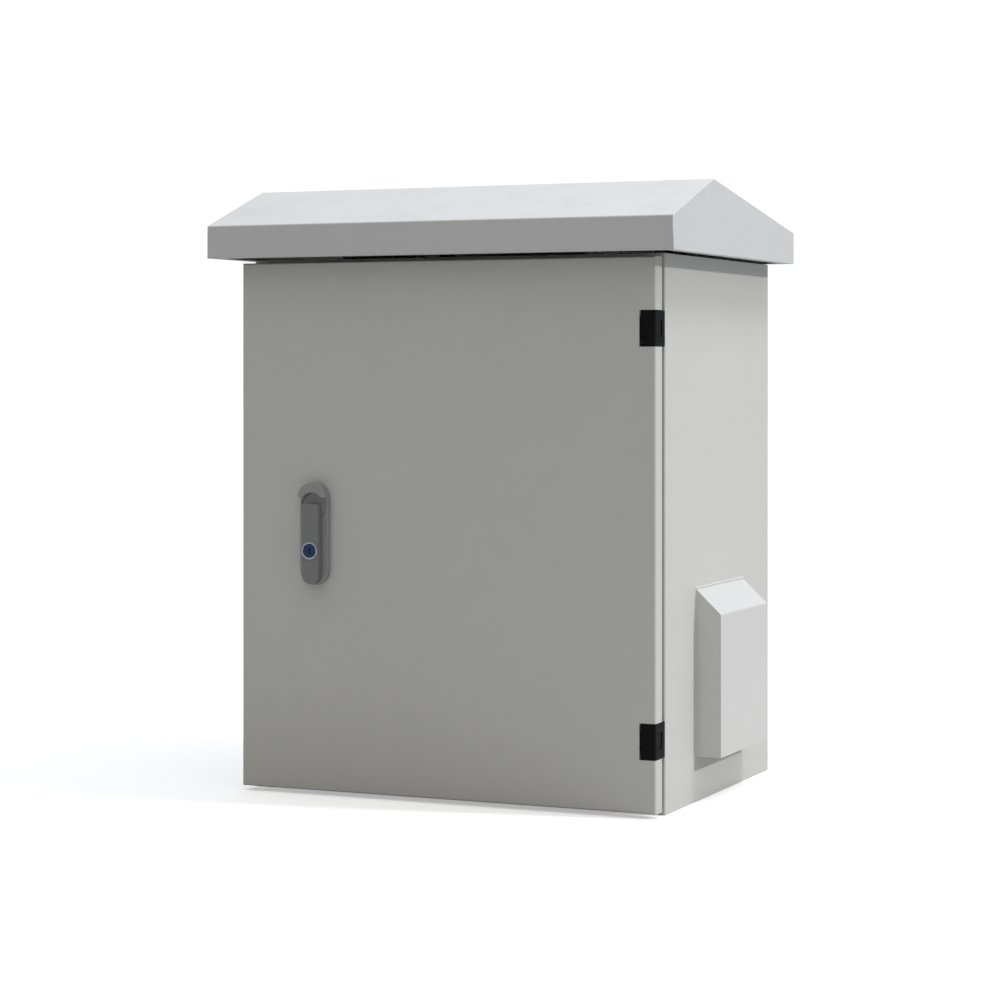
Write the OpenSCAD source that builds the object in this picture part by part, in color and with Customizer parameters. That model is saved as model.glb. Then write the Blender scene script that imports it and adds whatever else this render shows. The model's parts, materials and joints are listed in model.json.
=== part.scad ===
// Roadside utility cabinet: a folded sheet-steel body with a gable rain roof, one hinged door
// with a swing-handle rod lock, a side vent hood with a filter fan, and nineteen-inch rack rails.
//
// Frame: X to the right and Y to the back, seen from the front, and Z up.
// The origin is the centre of the anchor bolt pattern, on the face that the cabinet stands on.
// All sizes are in millimetres.

/* [Body] */
// Width over the side panels
body_w = 600; // [560:10:800]
// Depth of the body, from the door frame to the back
body_d = 426; // [400:2:600]
// Height of the body, without the roof
body_h = 722; // [700:2:900]
// Thickness of the folded sheet
sheet_t = 1.5; // [1.2:0.1:2]
// Inside radius of the bends
bend_r = 1.5; // [1:0.25:2.5]
// Width of the frame round the door opening
frame_w = 32; // [31:1:40]
// Height of the sealing lip that stands ahead of the frame
lip_h = 22; // [18:1:26]

/* [Door] */
// Depth of the door's folded edge
door_t = 23; // [20:1:26]
// Gap between the door's edge and the body
door_gap = 12; // [11.5:0.5:16]
// Height of the door's lower edge above the ground
door_low = 6; // [4:1:10]
// Gap between the door's top and the top of the body
door_high = 5; // [3:1:8]
// Width of the inward return along the door's edges
door_return = 12; // [8:1:14]
// Width of the foam seal
seal_w = 12; // [8:1:13]

/* [Roof] */
// How far the roof stands out past the side panels
eave_side = 36; // [36:1:60]
// How far the roof stands out past the door
eave_front = 33; // [25:1:60]
// How far the roof stands out past the back
eave_back = 6; // [4:1:40]
// Height of the upright fascia
fascia_h = 44; // [36:1:60]
// Rise of the ridge above the fascia
ridge_rise = 55; // [30:1:90]
// Distance of the ridge behind the front fascia
ridge_back = 154; // [120:1:230]
// Gap between the body's top and the fascia's lower edge
roof_gap = 1; // [0.5:0.5:4]
// Width of the fascia's inward hem
hem_w = 14; // [8:1:18]

/* [Vent hood] */
// Width of the hood, along the side panel
hood_w = 195; // [170:1:240]
// How far the hood stands out
hood_out = 35.5; // [25:0.5:35.5]
// Height of the hood's open lower edge
hood_low = 60; // [40:1:80]
// Height of the hood at the side panel
hood_h = 223; // [200:1:260]
// Drop of the hood's sloping top
hood_slope = 34; // [20:1:40]

/* [Fan] */
// Side of the square fan
fan_size = 120; // [110:1:125]
// Depth of the fan
fan_depth = 25; // [22:1:30]
// Depth of the filter frame
filter_depth = 12; // [10:1:15]

/* [Hinges] */
// Width of a hinge block, seen from the front
hinge_w = 22; // [20:0.5:24]
// Height of a hinge block
hinge_h = 46; // [40:1:60]
// Distance of each hinge's middle from the door's end
hinge_inset = 92; // [70:1:130]
// Diameter of the hinge pin
pin_d = 6; // [4:0.5:7]

/* [Lock] */
// Distance of the lock's centre line from the door's free edge
lock_inset = 114; // [80:1:160]
// Height of the handle's spindle above the ground
spindle_z = 389; // [340:1:450]
// Width of the lock's plate
plate_w = 42; // [40:1:50]
// Length of the lock's plate
plate_l = 138; // [130:1:160]
// Thickness of the lock's plate
plate_t = 8; // [8:1:12]
// Diameter of the turning head that carries the handle
turret_d = 36; // [34:1:38]
// Width of the handle
handle_w = 24; // [24:1:30]
// Thickness of the handle
handle_t = 11; // [11:1:14]
// Distance of the key cylinder below the spindle
key_drop = 59; // [50:1:70]
// Travel that the handle gives each rod
rod_travel = 14; // [12:1:15]

/* [Rack] */
// Height of the rack space, in units of 44.45 mm
rack_units = 13; // [8:1:13]
// Height of the lowest rack unit above the ground
rack_low = 72; // [70:1:80]
// Distance of the rack's front face behind the door frame
rack_set_back = 48; // [40:1:80]
// Distance between the front and the rear rails' faces
rack_d = 285; // [200:5:300]

/* [Base] */
// Distance between the anchor bolts, across the cabinet
anchor_x = 500; // [400:10:520]
// Distance between the anchor bolts, front to back
anchor_y = 330; // [280:10:350]
// Diameter of the anchor holes
anchor_d = 13; // [9:1:18]
// Diameter of the opening in a cable grommet
cable_d = 40; // [20:1:50]
// Distance between the wall bolts, across the back
wall_x = 440; // [300:10:500]
// Distance between the wall bolts, up the back
wall_z = 500; // [300:10:560]
// Diameter of the wall bolt holes
wall_d = 11; // [9:1:14]

/* [Hidden] */

$fn = 48;
eps = 0.01;
fit = 0.3;         // clearance between pieces that only have to pass each other
run_fit = 0.05;    // radial clearance of a pin or shaft that turns in its bore
bend_steps = 5;    // facets in each bend of the folded sheet

half_w = body_w / 2;
shell_front = -body_d / 2;
shell_back = body_d / 2;
door_front = shell_front - door_gap - door_t;
door_back = door_front + door_t;
door_skin = door_front + sheet_t;          // inner face of the door's sheet
door_top = body_h - door_high;
inner_w = body_w - 2 * sheet_t;            // between the side panels
lip_front = shell_front - lip_h;
lip_x = half_w - frame_w;                  // outer face of the upright lips
lip_low = frame_w;                         // outer faces of the level lips
lip_high = body_h - frame_w;

// ---------------------------------------------------------------- folded sheet

function unit(v) = v / norm(v);
function left_of(v) = [-v.y, v.x];
function turn_of(a, b) = atan2(a.x * b.y - a.y * b.x, a * b);
function reversed(list) = [for (i = [len(list) - 1:-1:0]) list[i]];

// Points along one side of a bend at b, between a and c. out is 1 for the left side.
function bend_points(a, b, c, t, r, out) =
    let (d1 = unit(b - a), d2 = unit(c - b), turn = turn_of(d1, d2), s = sign(turn),
         mid_r = r + t / 2, centre = b - d1 * mid_r * tan(abs(turn) / 2) + s * left_of(d1) * mid_r,
         start = -s * left_of(d1), first = atan2(start.y, start.x), radius = mid_r - s * out * t / 2)
    [for (i = [0:bend_steps])
        let (angle = first + turn * i / bend_steps) centre + radius * [cos(angle), sin(angle)]];

function side_points(line, t, r, out) =
    let (n = len(line))
    concat([line[0] + out * t / 2 * left_of(unit(line[1] - line[0]))],
           [for (i = [1:n - 2]) each bend_points(line[i - 1], line[i], line[i + 1], t, r, out)],
           [line[n - 1] + out * t / 2 * left_of(unit(line[n - 1] - line[n - 2]))]);

// Section of a sheet of thickness t whose middle follows a line of points.
module folded(line, t = sheet_t, r = bend_r) {
    polygon(concat(side_points(line, t, r, 1), reversed(side_points(line, t, r, -1))));
}

// Extrudes a section drawn in Y and Z along X, centred on x.
module along_x(length, x = 0) {
    translate([x - length / 2, 0, 0]) rotate([90, 0, 90]) linear_extrude(length) children();
}

// Extrudes a section drawn in X and Z along Y, from y to y + length.
module along_y(length, y) {
    translate([0, y + length, 0]) rotate([90, 0, 0]) linear_extrude(length) children();
}

// A round bar or hole along X, Y or Z from a point.
module rod_x(r, length, at) translate(at) rotate([0, 90, 0]) cylinder(r = r, h = length);
module rod_y(r, length, at) translate(at) rotate([-90, 0, 0]) cylinder(r = r, h = length);
module rod_z(r, length, at) translate(at) cylinder(r = r, h = length);

module block(low, high) translate(low) cube(high - low);

// ---------------------------------------------------------------- body

shell_skin = half_w - sheet_t / 2;         // middle of the side panels' sheet
frame_mid = shell_front + sheet_t / 2;     // middle of the door frame's sheet
lip_mid = lip_x - sheet_t / 2;             // middle of the upright lips' sheet

vent_z = hood_low + hood_h / 2;            // middle of the air inlet
slot_w = 6;
slot_pitch = 13;
slot_count = 8;

module shell() {
    half = [[lip_mid, lip_front], [lip_mid, frame_mid], [shell_skin, frame_mid],
            [shell_skin, shell_back - sheet_t / 2]];
    mirrored = [for (p = reversed(half)) [-p.x, p.y]];
    color("gainsboro") difference() {
        linear_extrude(body_h) folded(concat(half, mirrored));
        for (z = [-eps, lip_high])
            block([-half_w, lip_front - eps, z], [half_w, shell_front - bend_r, z + frame_w + eps]);
        air_inlet();
        for (x = [-1, 1], z = [-1, 1])
            rod_y(wall_d / 2, 3 * sheet_t, [x * wall_x / 2, shell_back - 2 * sheet_t,
                                            body_h / 2 + z * wall_z / 2]);
    }
}

// Slots through the right side panel, behind the hood.
module air_inlet() {
    length = fan_size - 16;
    for (i = [0:slot_count - 1])
        block([half_w - 2 * sheet_t, -length / 2, vent_z + (i - slot_count / 2 + 0.25) * slot_pitch],
              [half_w + sheet_t, length / 2,
               vent_z + (i - slot_count / 2 + 0.25) * slot_pitch + slot_w]);
}

// Turned-over edge, sheet and door frame of the top plate, as a line in Y and Z.
function plate_line(outer, inner, lip) =
    [[shell_back - 1.5 * sheet_t, inner], [shell_back - 1.5 * sheet_t, outer],
     [frame_mid, outer], [frame_mid, lip], [lip_front, lip]];

// The front of a plate fits between the upright lips, and its sheet between the side panels.
module plate_sheet(line) {
    difference() {
        along_x(inner_w) folded(line);
        for (x = [-1, 1])
            translate([x * (lip_x - sheet_t + half_w) / 2, 0, 0])
                block([-(frame_w + sheet_t) / 2, lip_front - 1, -1],
                      [(frame_w + sheet_t) / 2, shell_front + sheet_t + bend_r, body_h + 1]);
        for (x = [-1, 1])
            translate([x * inner_w / 2, shell_back - sheet_t, body_h / 2])
                cube([2 * bend_r + fit, 2 * bend_r + fit, body_h + 2], center = true);
    }
}

weld_edge = 20;

module top_plate() {
    color("gainsboro") difference() {
        plate_sheet(plate_line(body_h - sheet_t / 2, body_h - weld_edge, lip_high - sheet_t / 2));
        for (x = [-1, 1], i = [-4:4])
            block([x * body_w / 8 - 35, i * slot_pitch * 2 - slot_w / 2, body_h - 2 * sheet_t],
                  [x * body_w / 8 + 35, i * slot_pitch * 2 + slot_w / 2, body_h + sheet_t]);
        roof_bolt_places() rod_z(roof_bolt_d / 2, 4 * sheet_t, [0, 0, -2 * sheet_t]);
    }
}

grommet_y = shell_back - 95;
grommet_x = body_w * 0.12;
gland_cut = [body_w * 0.45, 84];
gland_size = [body_w * 0.45 + 36, 116];
gland_t = 2;

module bottom_plate() {
    color("gainsboro") difference() {
        plate_sheet(plate_line(sheet_t / 2, weld_edge, lip_low + sheet_t / 2));
        for (x = [-1, 1], y = [-1, 1])
            rod_z(anchor_d / 2, 3 * sheet_t, [x * anchor_x / 2, y * anchor_y / 2, -sheet_t]);
        translate([0, grommet_y, 0])
            block([-gland_cut.x / 2, -gland_cut.y / 2, -1], [gland_cut.x / 2, gland_cut.y / 2, 5]);
        gland_screw_places() rod_z(gland_screw_d / 2, 3 * sheet_t, [0, 0, -sheet_t]);
    }
}

anchor_plate = 44;
anchor_plate_t = 4;

module anchor_plates() {
    color("silver") for (x = [-1, 1], y = [-1, 1])
        translate([x * anchor_x / 2, y * anchor_y / 2, sheet_t]) difference() {
            block([-anchor_plate / 2, -anchor_plate / 2, 0],
                  [anchor_plate / 2, anchor_plate / 2, anchor_plate_t]);
            rod_z(anchor_d / 2, 2 * anchor_plate_t, [0, 0, -1]);
        }
}

// ---------------------------------------------------------------- roof

roof_x = half_w + eave_side;
roof_front = door_front - eave_front;
roof_back = shell_back + eave_back;
roof_low = body_h + roof_gap;
roof_eave = roof_low + fascia_h;
roof_ridge = roof_eave + ridge_rise;
ridge_y = roof_front + ridge_back;

// Height of the roof's outer face above a place front to back.
function roof_at(y) = y < ridge_y
    ? roof_eave + ridge_rise * (y - roof_front) / (ridge_y - roof_front)
    : roof_eave + ridge_rise * (roof_back - y) / (roof_back - ridge_y);

front_slope = atan2(ridge_rise, ridge_y - roof_front);
rear_slope = atan2(ridge_rise, roof_back - ridge_y);

// The roof's outer line in Y and Z, drawn in by a distance.
function roof_line(in) =
    let (front_eave = roof_eave + in * tan(front_slope) - in / cos(front_slope),
         rear_eave = roof_eave + in * tan(rear_slope) - in / cos(rear_slope),
         peak = in * (1 / cos(front_slope) + 1 / cos(rear_slope)) / 2)
    [[roof_front + in, front_eave], [ridge_y, roof_ridge - peak], [roof_back - in, rear_eave]];

module roof_cap() {
    mid = sheet_t / 2;
    line = roof_line(mid);
    hem = roof_low + mid;
    outer = roof_line(0);
    color("whitesmoke") union() {
        along_x(2 * roof_x - 2 * sheet_t)
            folded(concat([[roof_front + hem_w, hem], [roof_front + mid, hem]], line,
                          [[roof_back - mid, hem], [roof_back - hem_w, hem]]));
        for (x = [-1, 1]) {
            along_x(sheet_t, x * (roof_x - mid))
                polygon(concat([[roof_front, roof_low]], outer, [[roof_back, roof_low]]));
            translate([x * (roof_x - hem_w / 2), 0, roof_low])
                block([-hem_w / 2, roof_front + 1, 0], [hem_w / 2, roof_back - 1, sheet_t]);
        }
    }
}

bracket_x = body_w * 0.3;
bracket_t = 2;
bracket_flange = 24;
roof_bolt_d = 6.4;
weld_gap = 0.1;            // between the brackets and the slopes that they carry
bracket_y = [shell_front + 30, shell_back - 30];
bracket_bolt_y = [bracket_y[0] + 20, bracket_y[1] - 20];

module roof_bolt_places() {
    for (side = [-1, 1], y = bracket_bolt_y)
        translate([side * (bracket_x + bracket_flange / 2), y, body_h]) children();
}

// An upright web under both slopes, with a foot on the top plate and a flange under each slope.
module roof_bracket() {
    under = roof_line(sheet_t + weld_gap);
    ends = [for (y = bracket_y)
        [y, roof_at(y) - (sheet_t + weld_gap) / cos(y < ridge_y ? front_slope : rear_slope)]];
    top = [ends[0], under[1], ends[1]];
    lower = [for (p = reversed(top)) p - [0, bracket_t]];
    color("silver") difference() {
        union() {
            along_x(bracket_t, bracket_x + bracket_t / 2)
                polygon(concat([[bracket_y[0], body_h]], top, [[bracket_y[1], body_h]]));
            along_x(bracket_flange, bracket_x + bracket_flange / 2) polygon(concat(top, lower));
            block([bracket_x, bracket_y[0], body_h],
                  [bracket_x + bracket_flange, bracket_y[1], body_h + bracket_t]);
        }
        roof_bolt_places() rod_z(roof_bolt_d / 2, 4 * bracket_t, [0, 0, -bracket_t]);
        for (i = [0:1])
            block([bracket_x - 1, -30 + i * 100, body_h + 15],
                  [bracket_x + bracket_t + 1, 30 + i * 100, body_h + 50]);
    }
}

// Bolts that hold the brackets down on the top plate, with their nuts under it.
module roof_bolts() {
    color("silver") roof_bolt_places() {
        rod_z(roof_bolt_d / 2 - 0.2, sheet_t + bracket_t + 8, [0, 0, -sheet_t - 8]);
        rod_z(5, 4, [0, 0, bracket_t]);
        translate([0, 0, -sheet_t - 5]) cylinder(r = 5.77, h = 5, $fn = 6);
    }
}

// ---------------------------------------------------------------- vent hood and fan

module vent_hood() {
    top = hood_low + hood_h;
    face = top - hood_slope;
    x1 = half_w + hood_out;
    drop = sheet_t / cos(atan2(hood_slope, hood_out));
    rise = hood_slope / hood_out;
    color("whitesmoke") difference() {
        union() {
            along_y(hood_w, -hood_w / 2) folded([[x1 - sheet_t / 2, hood_low],
                [x1 - sheet_t / 2, face - drop / 2 + sheet_t / 2 * rise],
                [half_w - 2 * sheet_t, top - drop / 2 + 2 * sheet_t * rise]]);
            for (y = [-hood_w / 2, hood_w / 2 - sheet_t])
                along_y(sheet_t, y)
                    polygon([[half_w, hood_low], [x1, hood_low], [x1, face - bend_r],
                             [x1 - bend_r, face - drop / 2], [half_w, top - drop / 2]]);
        }
        block([half_w - 10, -hood_w, hood_low], [half_w, hood_w, top + 10]);
    }
}

filter_x = half_w - sheet_t;
fan_x = filter_x - filter_depth;
mat_size = fan_size + 10;
filter_wall = 1.5;
fan_hole = fan_size * 0.4375;
fan_bore = fan_size / 2 - 2.5;

module filter_frame() {
    outer = mat_size / 2 + filter_wall + fit;
    color("dimgray") difference() {
        block([fan_x, -outer, vent_z - outer], [filter_x, outer, vent_z + outer]);
        block([fan_x + filter_wall, -mat_size / 2 - fit, vent_z - mat_size / 2 - fit],
              [filter_x + 1, mat_size / 2 + fit, vent_z + mat_size / 2 + fit]);
        rod_x(fan_bore, filter_depth, [fan_x - 1, 0, vent_z]);
        fan_holes() rod_x(2, filter_depth, [fan_x - 1, 0, 0]);
    }
}

module filter_mat() {
    color("lightgray")
        block([fan_x + filter_wall, -mat_size / 2, vent_z - mat_size / 2],
              [filter_x, mat_size / 2, vent_z + mat_size / 2]);
}

module fan_holes() {
    for (y = [-1, 1], z = [-1, 1]) translate([0, y * fan_hole, vent_z + z * fan_hole]) children();
}

fan_hub = 19;
fan_back = fan_x - fan_depth;

module fan_housing() {
    color([0.12, 0.12, 0.13]) union() {
        difference() {
            block([fan_back, -fan_size / 2, vent_z - fan_size / 2],
                  [fan_x, fan_size / 2, vent_z + fan_size / 2]);
            rod_x(fan_bore, fan_depth + 2, [fan_back - 1, 0, vent_z]);
            fan_holes() rod_x(2.2, fan_depth + 2, [fan_back - 1, 0, 0]);
        }
        for (a = [0:3]) translate([0, 0, vent_z]) rotate([45 + 90 * a, 0, 0])
            block([fan_back, fan_hub - 2, -2.5], [fan_back + 3, fan_bore + 1, 2.5]);
        rod_x(fan_hub, 3, [fan_back, 0, vent_z]);
        rod_x(2, fan_depth / 2, [fan_back, 0, vent_z]);
    }
}

blade_count = 7;

module fan_rotor() {
    low = fan_back + 4;
    length = fan_depth - 6;
    blade_r = fan_bore - 1.5;
    color([0.16, 0.16, 0.17]) difference() {
        union() {
            rod_x(fan_hub, length, [low, 0, vent_z]);
            intersection() {
                rod_x(blade_r, length, [low, 0, vent_z]);
                for (a = [0:blade_count - 1])
                    translate([low + length / 2, 0, vent_z])
                        rotate([a * 360 / blade_count, 0, 0]) rotate([0, 0, 52])
                            block([-1, 0, fan_hub - 3] - [0, 17, 0], [1, 17, blade_r + 5]);
            }
        }
        rod_x(2 + run_fit, length + 2, [low - 1, 0, vent_z]);
    }
}

guard_wire = 1.2;

module fan_guard() {
    x = fan_back - guard_wire;
    color("silver") translate([x, 0, vent_z]) rotate([0, 90, 0]) union() {
        for (r = [15:12:51]) rotate_extrude() translate([r, 0]) circle(guard_wire, $fn = 24);
        difference() {
            for (a = [0:3]) rotate([0, 0, 45 + 90 * a]) union() {
                translate([13, -1.5, -guard_wire]) cube([fan_hole * sqrt(2) - 13, 3, guard_wire]);
                translate([fan_hole * sqrt(2), 0, -guard_wire]) cylinder(r = 4.5, h = 2 * guard_wire);
            }
            for (a = [0:3]) rotate([0, 0, 45 + 90 * a])
                translate([fan_hole * sqrt(2), 0, -2]) cylinder(r = 2.2, h = 4);
        }
    }
}

module fan_screws() {
    color("silver") fan_holes() {
        rod_x(1.9, fan_depth + filter_wall + guard_wire * 2, [fan_back - 2 * guard_wire, 0, 0]);
        rod_x(3.8, 2.4, [fan_back - 2 * guard_wire - 2.4, 0, 0]);
    }
}

// ---------------------------------------------------------------- rack

unit_h = 44.45;
rail_t = 2;
rail_inner = 225;          // half of the clear width between the rails
rail_w = 24;
rail_leg = 32;
rail_hole = 9.5;
rail_hole_x = 232.6;
rack_h = rack_units * unit_h;
rack_front = shell_front + rack_set_back;
strut_t = 2;
strut_h = 30;

function hole_heights() = [for (u = [0:rack_units - 1], h = [6.35, 22.225, 38.1]) u * unit_h + h];

// An upright angle with three square holes to each rack unit. face is the front of its flange,
// and back is 1 where its leg runs to the back.
module rack_rail(side, face, back) {
    flange = back > 0 ? face : face - rail_t;
    color("silver") translate([0, 0, rack_low]) union() {
        translate([0, flange + rail_t, 0]) rotate([90, 0, 0]) linear_extrude(rail_t) difference() {
            translate([side > 0 ? rail_inner : -rail_inner - rail_w, 0]) square([rail_w, rack_h]);
            for (z = hole_heights())
                translate([side * rail_hole_x - rail_hole / 2, z - rail_hole / 2])
                    square(rail_hole);
        }
        translate([side > 0 ? rail_inner + rail_w - rail_t : -rail_inner - rail_w,
                   back > 0 ? face : face - rail_leg, 0]) cube([rail_t, rail_leg, rack_h]);
    }
}

// An angle along each side panel that the rails stand on, or hang from.
module rail_strut(side, upper) {
    length = rack_d + 20;
    wall_x0 = half_w - sheet_t;
    z = upper ? rack_low + rack_h : rack_low - strut_t;
    leg = upper ? [z, z + strut_h] : [z + strut_t - strut_h, z + strut_t];
    color("silver") translate([0, rack_front - 10, 0]) union() {
        block([side > 0 ? rail_inner : -wall_x0, 0, z],
              [side > 0 ? wall_x0 : -rail_inner, length, z + strut_t]);
        block([side > 0 ? wall_x0 - strut_t : -wall_x0, 0, leg[0]],
              [side > 0 ? wall_x0 : -wall_x0 + strut_t, length, leg[1]]);
    }
}

// ---------------------------------------------------------------- base fittings

gland_screw_d = 4.4;

module gland_screw_places() {
    for (x = [-1, 0, 1], y = [-1, 1])
        translate([x * (gland_size.x / 2 - 9), grommet_y + y * (gland_size.y / 2 - 8), 0]) children();
}

grommet_hole = cable_d + 8;

module gland_plate() {
    color("silver") difference() {
        translate([0, grommet_y, 0])
            block([-gland_size.x / 2, -gland_size.y / 2, sheet_t],
                  [gland_size.x / 2, gland_size.y / 2, sheet_t + gland_t]);
        for (x = [-1, 1])
            rod_z(grommet_hole / 2, 3 * gland_t, [x * grommet_x, grommet_y, 0]);
        gland_screw_places() rod_z(gland_screw_d / 2, 3 * gland_t, [0, 0, 0]);
    }
}

// A rubber ring that grips the gland plate's hole, with a collar inside the cabinet.
module cable_grommet(side) {
    inner = cable_d / 2;
    neck = grommet_hole / 2;
    plate = [sheet_t, sheet_t + gland_t];
    color([0.1, 0.1, 0.1]) translate([side * grommet_x, grommet_y, 0]) rotate_extrude()
        polygon([[inner, 0], [neck + 5, 0], [neck + 5, plate[0]], [neck, plate[0]],
                 [neck, plate[1]], [neck + 5, plate[1]], [neck + 5, plate[1] + 2.5],
                 [inner + 4, plate[1] + 5], [inner + 2.5, plate[1] + 14], [inner, plate[1] + 14]]);
}

module gland_plate_screws() {
    color("silver") gland_screw_places() {
        rod_z(gland_screw_d / 2 - 0.2, sheet_t + gland_t, [0, 0, 0]);
        rod_z(4.2, 2.6, [0, 0, sheet_t + gland_t]);
    }
}

earth_z = 130;
earth_l = 160;
earth_x = -half_w + sheet_t;
earth_stand = 22;
earth_bar_t = 4;

module earth_bar() {
    color([0.8, 0.55, 0.3]) difference() {
        block([earth_x + earth_stand, -earth_l / 2, earth_z - 10],
              [earth_x + earth_stand + earth_bar_t, earth_l / 2, earth_z + 10]);
        for (i = [-3:3]) rod_x(3, 3 * earth_bar_t, [earth_x + earth_stand - 2, i * 22, earth_z]);
    }
}

module earth_insulators() {
    color([0.75, 0.12, 0.1]) for (y = [-66, 66]) rod_x(8, earth_stand, [earth_x, y, earth_z]);
}

module earth_screws() {
    color("silver") for (y = [-66, 66]) {
        rod_x(2.9, earth_bar_t, [earth_x + earth_stand, y, earth_z]);
        rod_x(5.5, 3.6, [earth_x + earth_stand + earth_bar_t, y, earth_z]);
    }
}

// ---------------------------------------------------------------- door

door_bend = bend_r + sheet_t;
door_h = door_top - door_low;

// A plate with its front edges rounded, drawn from y = 0 to the back.
module front_rounded(w, d, r) {
    translate([-w / 2, r]) square([w, d - r]);
    translate([-w / 2 + r, 0]) square([w - 2 * r, d]);
    for (x = [-1, 1]) translate([x * (w / 2 - r), r]) circle(r);
}

// The outside of the door, drawn in by a distance and open at the back.
module door_block(in, deeper = 0) {
    w = body_w - 2 * in;
    h = door_h - 2 * in;
    d = door_t - in + deeper;
    translate([0, door_front + in, door_low + door_h / 2]) intersection() {
        translate([0, 0, -h / 2]) linear_extrude(h) front_rounded(w, d, door_bend - in);
        translate([-w / 2, 0, 0]) rotate([0, 90, 0])
            linear_extrude(w) front_rounded(h, d, door_bend - in);
    }
}

module door_panel() {
    color("gainsboro") difference() {
        union() {
            difference() {
                door_block(0);
                door_block(sheet_t, 1);
            }
            translate([0, door_back - sheet_t, door_low + door_h / 2]) rotate([-90, 0, 0])
                linear_extrude(sheet_t) difference() {
                    square([body_w - 2, door_h - 2], center = true);
                    square([body_w - 2 * door_return, door_h - 2 * door_return], center = true);
                }
        }
        for (z = hinge_z)
            block([hinge_left - 0.5, door_front - 1, z - hinge_h / 2 - 0.5],
                  [half_w + 1, door_back + 1, z + hinge_h / 2 + 0.5]);
        rod_y(barrel_r, 10, [lock_x, door_front - 4, spindle_z]);
    }
}

seal_mid_x = lip_mid;
seal_low = lip_low + sheet_t / 2;
seal_high = lip_high - sheet_t / 2;

module seal_ring(out) {
    block([-seal_mid_x - out, door_skin, seal_low - out], [seal_mid_x + out, lip_front, seal_high + out]);
}

module door_seal() {
    color([0.09, 0.09, 0.09]) difference() {
        seal_ring(seal_w / 2);
        block([-seal_mid_x + seal_w / 2, door_skin - 1, seal_low + seal_w / 2],
              [seal_mid_x - seal_w / 2, lip_front + 1, seal_high - seal_w / 2]);
        for (z = hinge_z)
            block([hinge_wing_x - 0.5, door_skin - 1, z - hinge_h / 2 - 0.5],
                  [half_w, door_skin + wing_t + fit, z + hinge_h / 2 + 0.5]);
    }
}

stiffener_x = body_w * 0.1;
stiffener_w = 40;
stiffener_d = 15;
stiffener_t = 1.2;

// A hat section welded down the inside of the door.
module door_stiffener() {
    y0 = door_skin + stiffener_t / 2;
    y1 = door_skin + stiffener_d;
    wide = stiffener_w / 2;
    color("gainsboro") translate([stiffener_x, 0, seal_low + seal_w])
        linear_extrude(seal_high - seal_low - 2 * seal_w)
            folded([[-wide - 14, y0], [-wide, y0], [-wide, y1], [wide, y1], [wide, y0],
                    [wide + 14, y0]], stiffener_t, 1);
}

// ---------------------------------------------------------------- hinges

pin_from_side = 9;
pin_from_front = 12;
axis_x = half_w - pin_from_side;
axis_y = door_front + pin_from_front;
hinge_z = [door_low + hinge_inset, door_top - hinge_inset];
hinge_left = half_w - hinge_w;
hinge_right = half_w - 0.5;
knuckle_h = hinge_h * 0.46;
knuckle_back = door_back - 0.5;
leaf_front = shell_front - 10;
wing_t = 2.5;
wing_w = 38;
hinge_wing_x = hinge_left - wing_w;
wing_right = hinge_left - 4;               // the wing passes in front of the ears' corners
stud_r = 2.5;

// Plan of a hinge knuckle, with rounded corners.
module knuckle_plan(back, r) {
    w = hinge_right - hinge_left;
    d = back - door_front;
    translate([hinge_left, door_front]) {
        translate([r, 0]) square([w - 2 * r, d]);
        translate([0, r]) square([w, d - 2 * r]);
        for (x = [r, w - r], y = [r, d - r]) translate([x, y]) circle(r);
    }
}

// The leaf on the body: a block on the door frame with an ear above and below.
module hinge_frame_leaf(z) {
    ear = (hinge_h - knuckle_h) / 2 - fit / 2;
    color([0.06, 0.06, 0.065]) difference() {
        union() {
            block([hinge_left, leaf_front, z - hinge_h / 2], [hinge_right, shell_front, z + hinge_h / 2]);
            for (low = [z - hinge_h / 2, z + hinge_h / 2 - ear]) translate([0, 0, low])
                linear_extrude(ear) union() {
                    knuckle_plan(leaf_front + 4, 3.5);
                }
        }
        rod_z(pin_d / 2, hinge_h + 2, [axis_x, axis_y, z - hinge_h / 2 - 1]);
    }
}

module hinge_pin(z) {
    color("silver") rod_z(pin_d / 2, hinge_h - 2, [axis_x, axis_y, z - hinge_h / 2 + 1]);
}

module hinge_stud_places(z) {
    for (s = [-1, 1]) translate([hinge_wing_x + 10, door_skin, z + s * hinge_h * 0.3]) children();
}

// The leaf on the door: the middle knuckle with a wing behind the door's sheet.
module hinge_door_leaf(z) {
    color([0.06, 0.06, 0.065]) difference() {
        union() {
            translate([0, 0, z - knuckle_h / 2 + fit / 2])
                linear_extrude(knuckle_h - fit) knuckle_plan(knuckle_back, 3.5);
            block([hinge_wing_x, door_skin, z - hinge_h / 2],
                  [wing_right, door_skin + wing_t, z + hinge_h / 2]);
            block([wing_right - 1, door_skin, z - knuckle_h / 2 + fit / 2],
                  [hinge_left + 4, door_skin + wing_t, z + knuckle_h / 2 - fit / 2]);
        }
        rod_z(pin_d / 2 + run_fit, hinge_h + 2, [axis_x, axis_y, z - hinge_h / 2 - 1]);
        hinge_stud_places(z) rod_y(stud_r, 10, [0, -5, 0]);
    }
}

// Studs welded inside the door, with nuts that hold the wings on them.
module hinge_nuts() {
    color("silver") for (z = hinge_z) hinge_stud_places(z) {
        rod_y(stud_r, 9, [0, 0, 0]);
        translate([0, wing_t, 0]) rotate([-90, 30, 0]) cylinder(r = 4.6, h = 4, $fn = 6);
    }
}

// ---------------------------------------------------------------- lock

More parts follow.
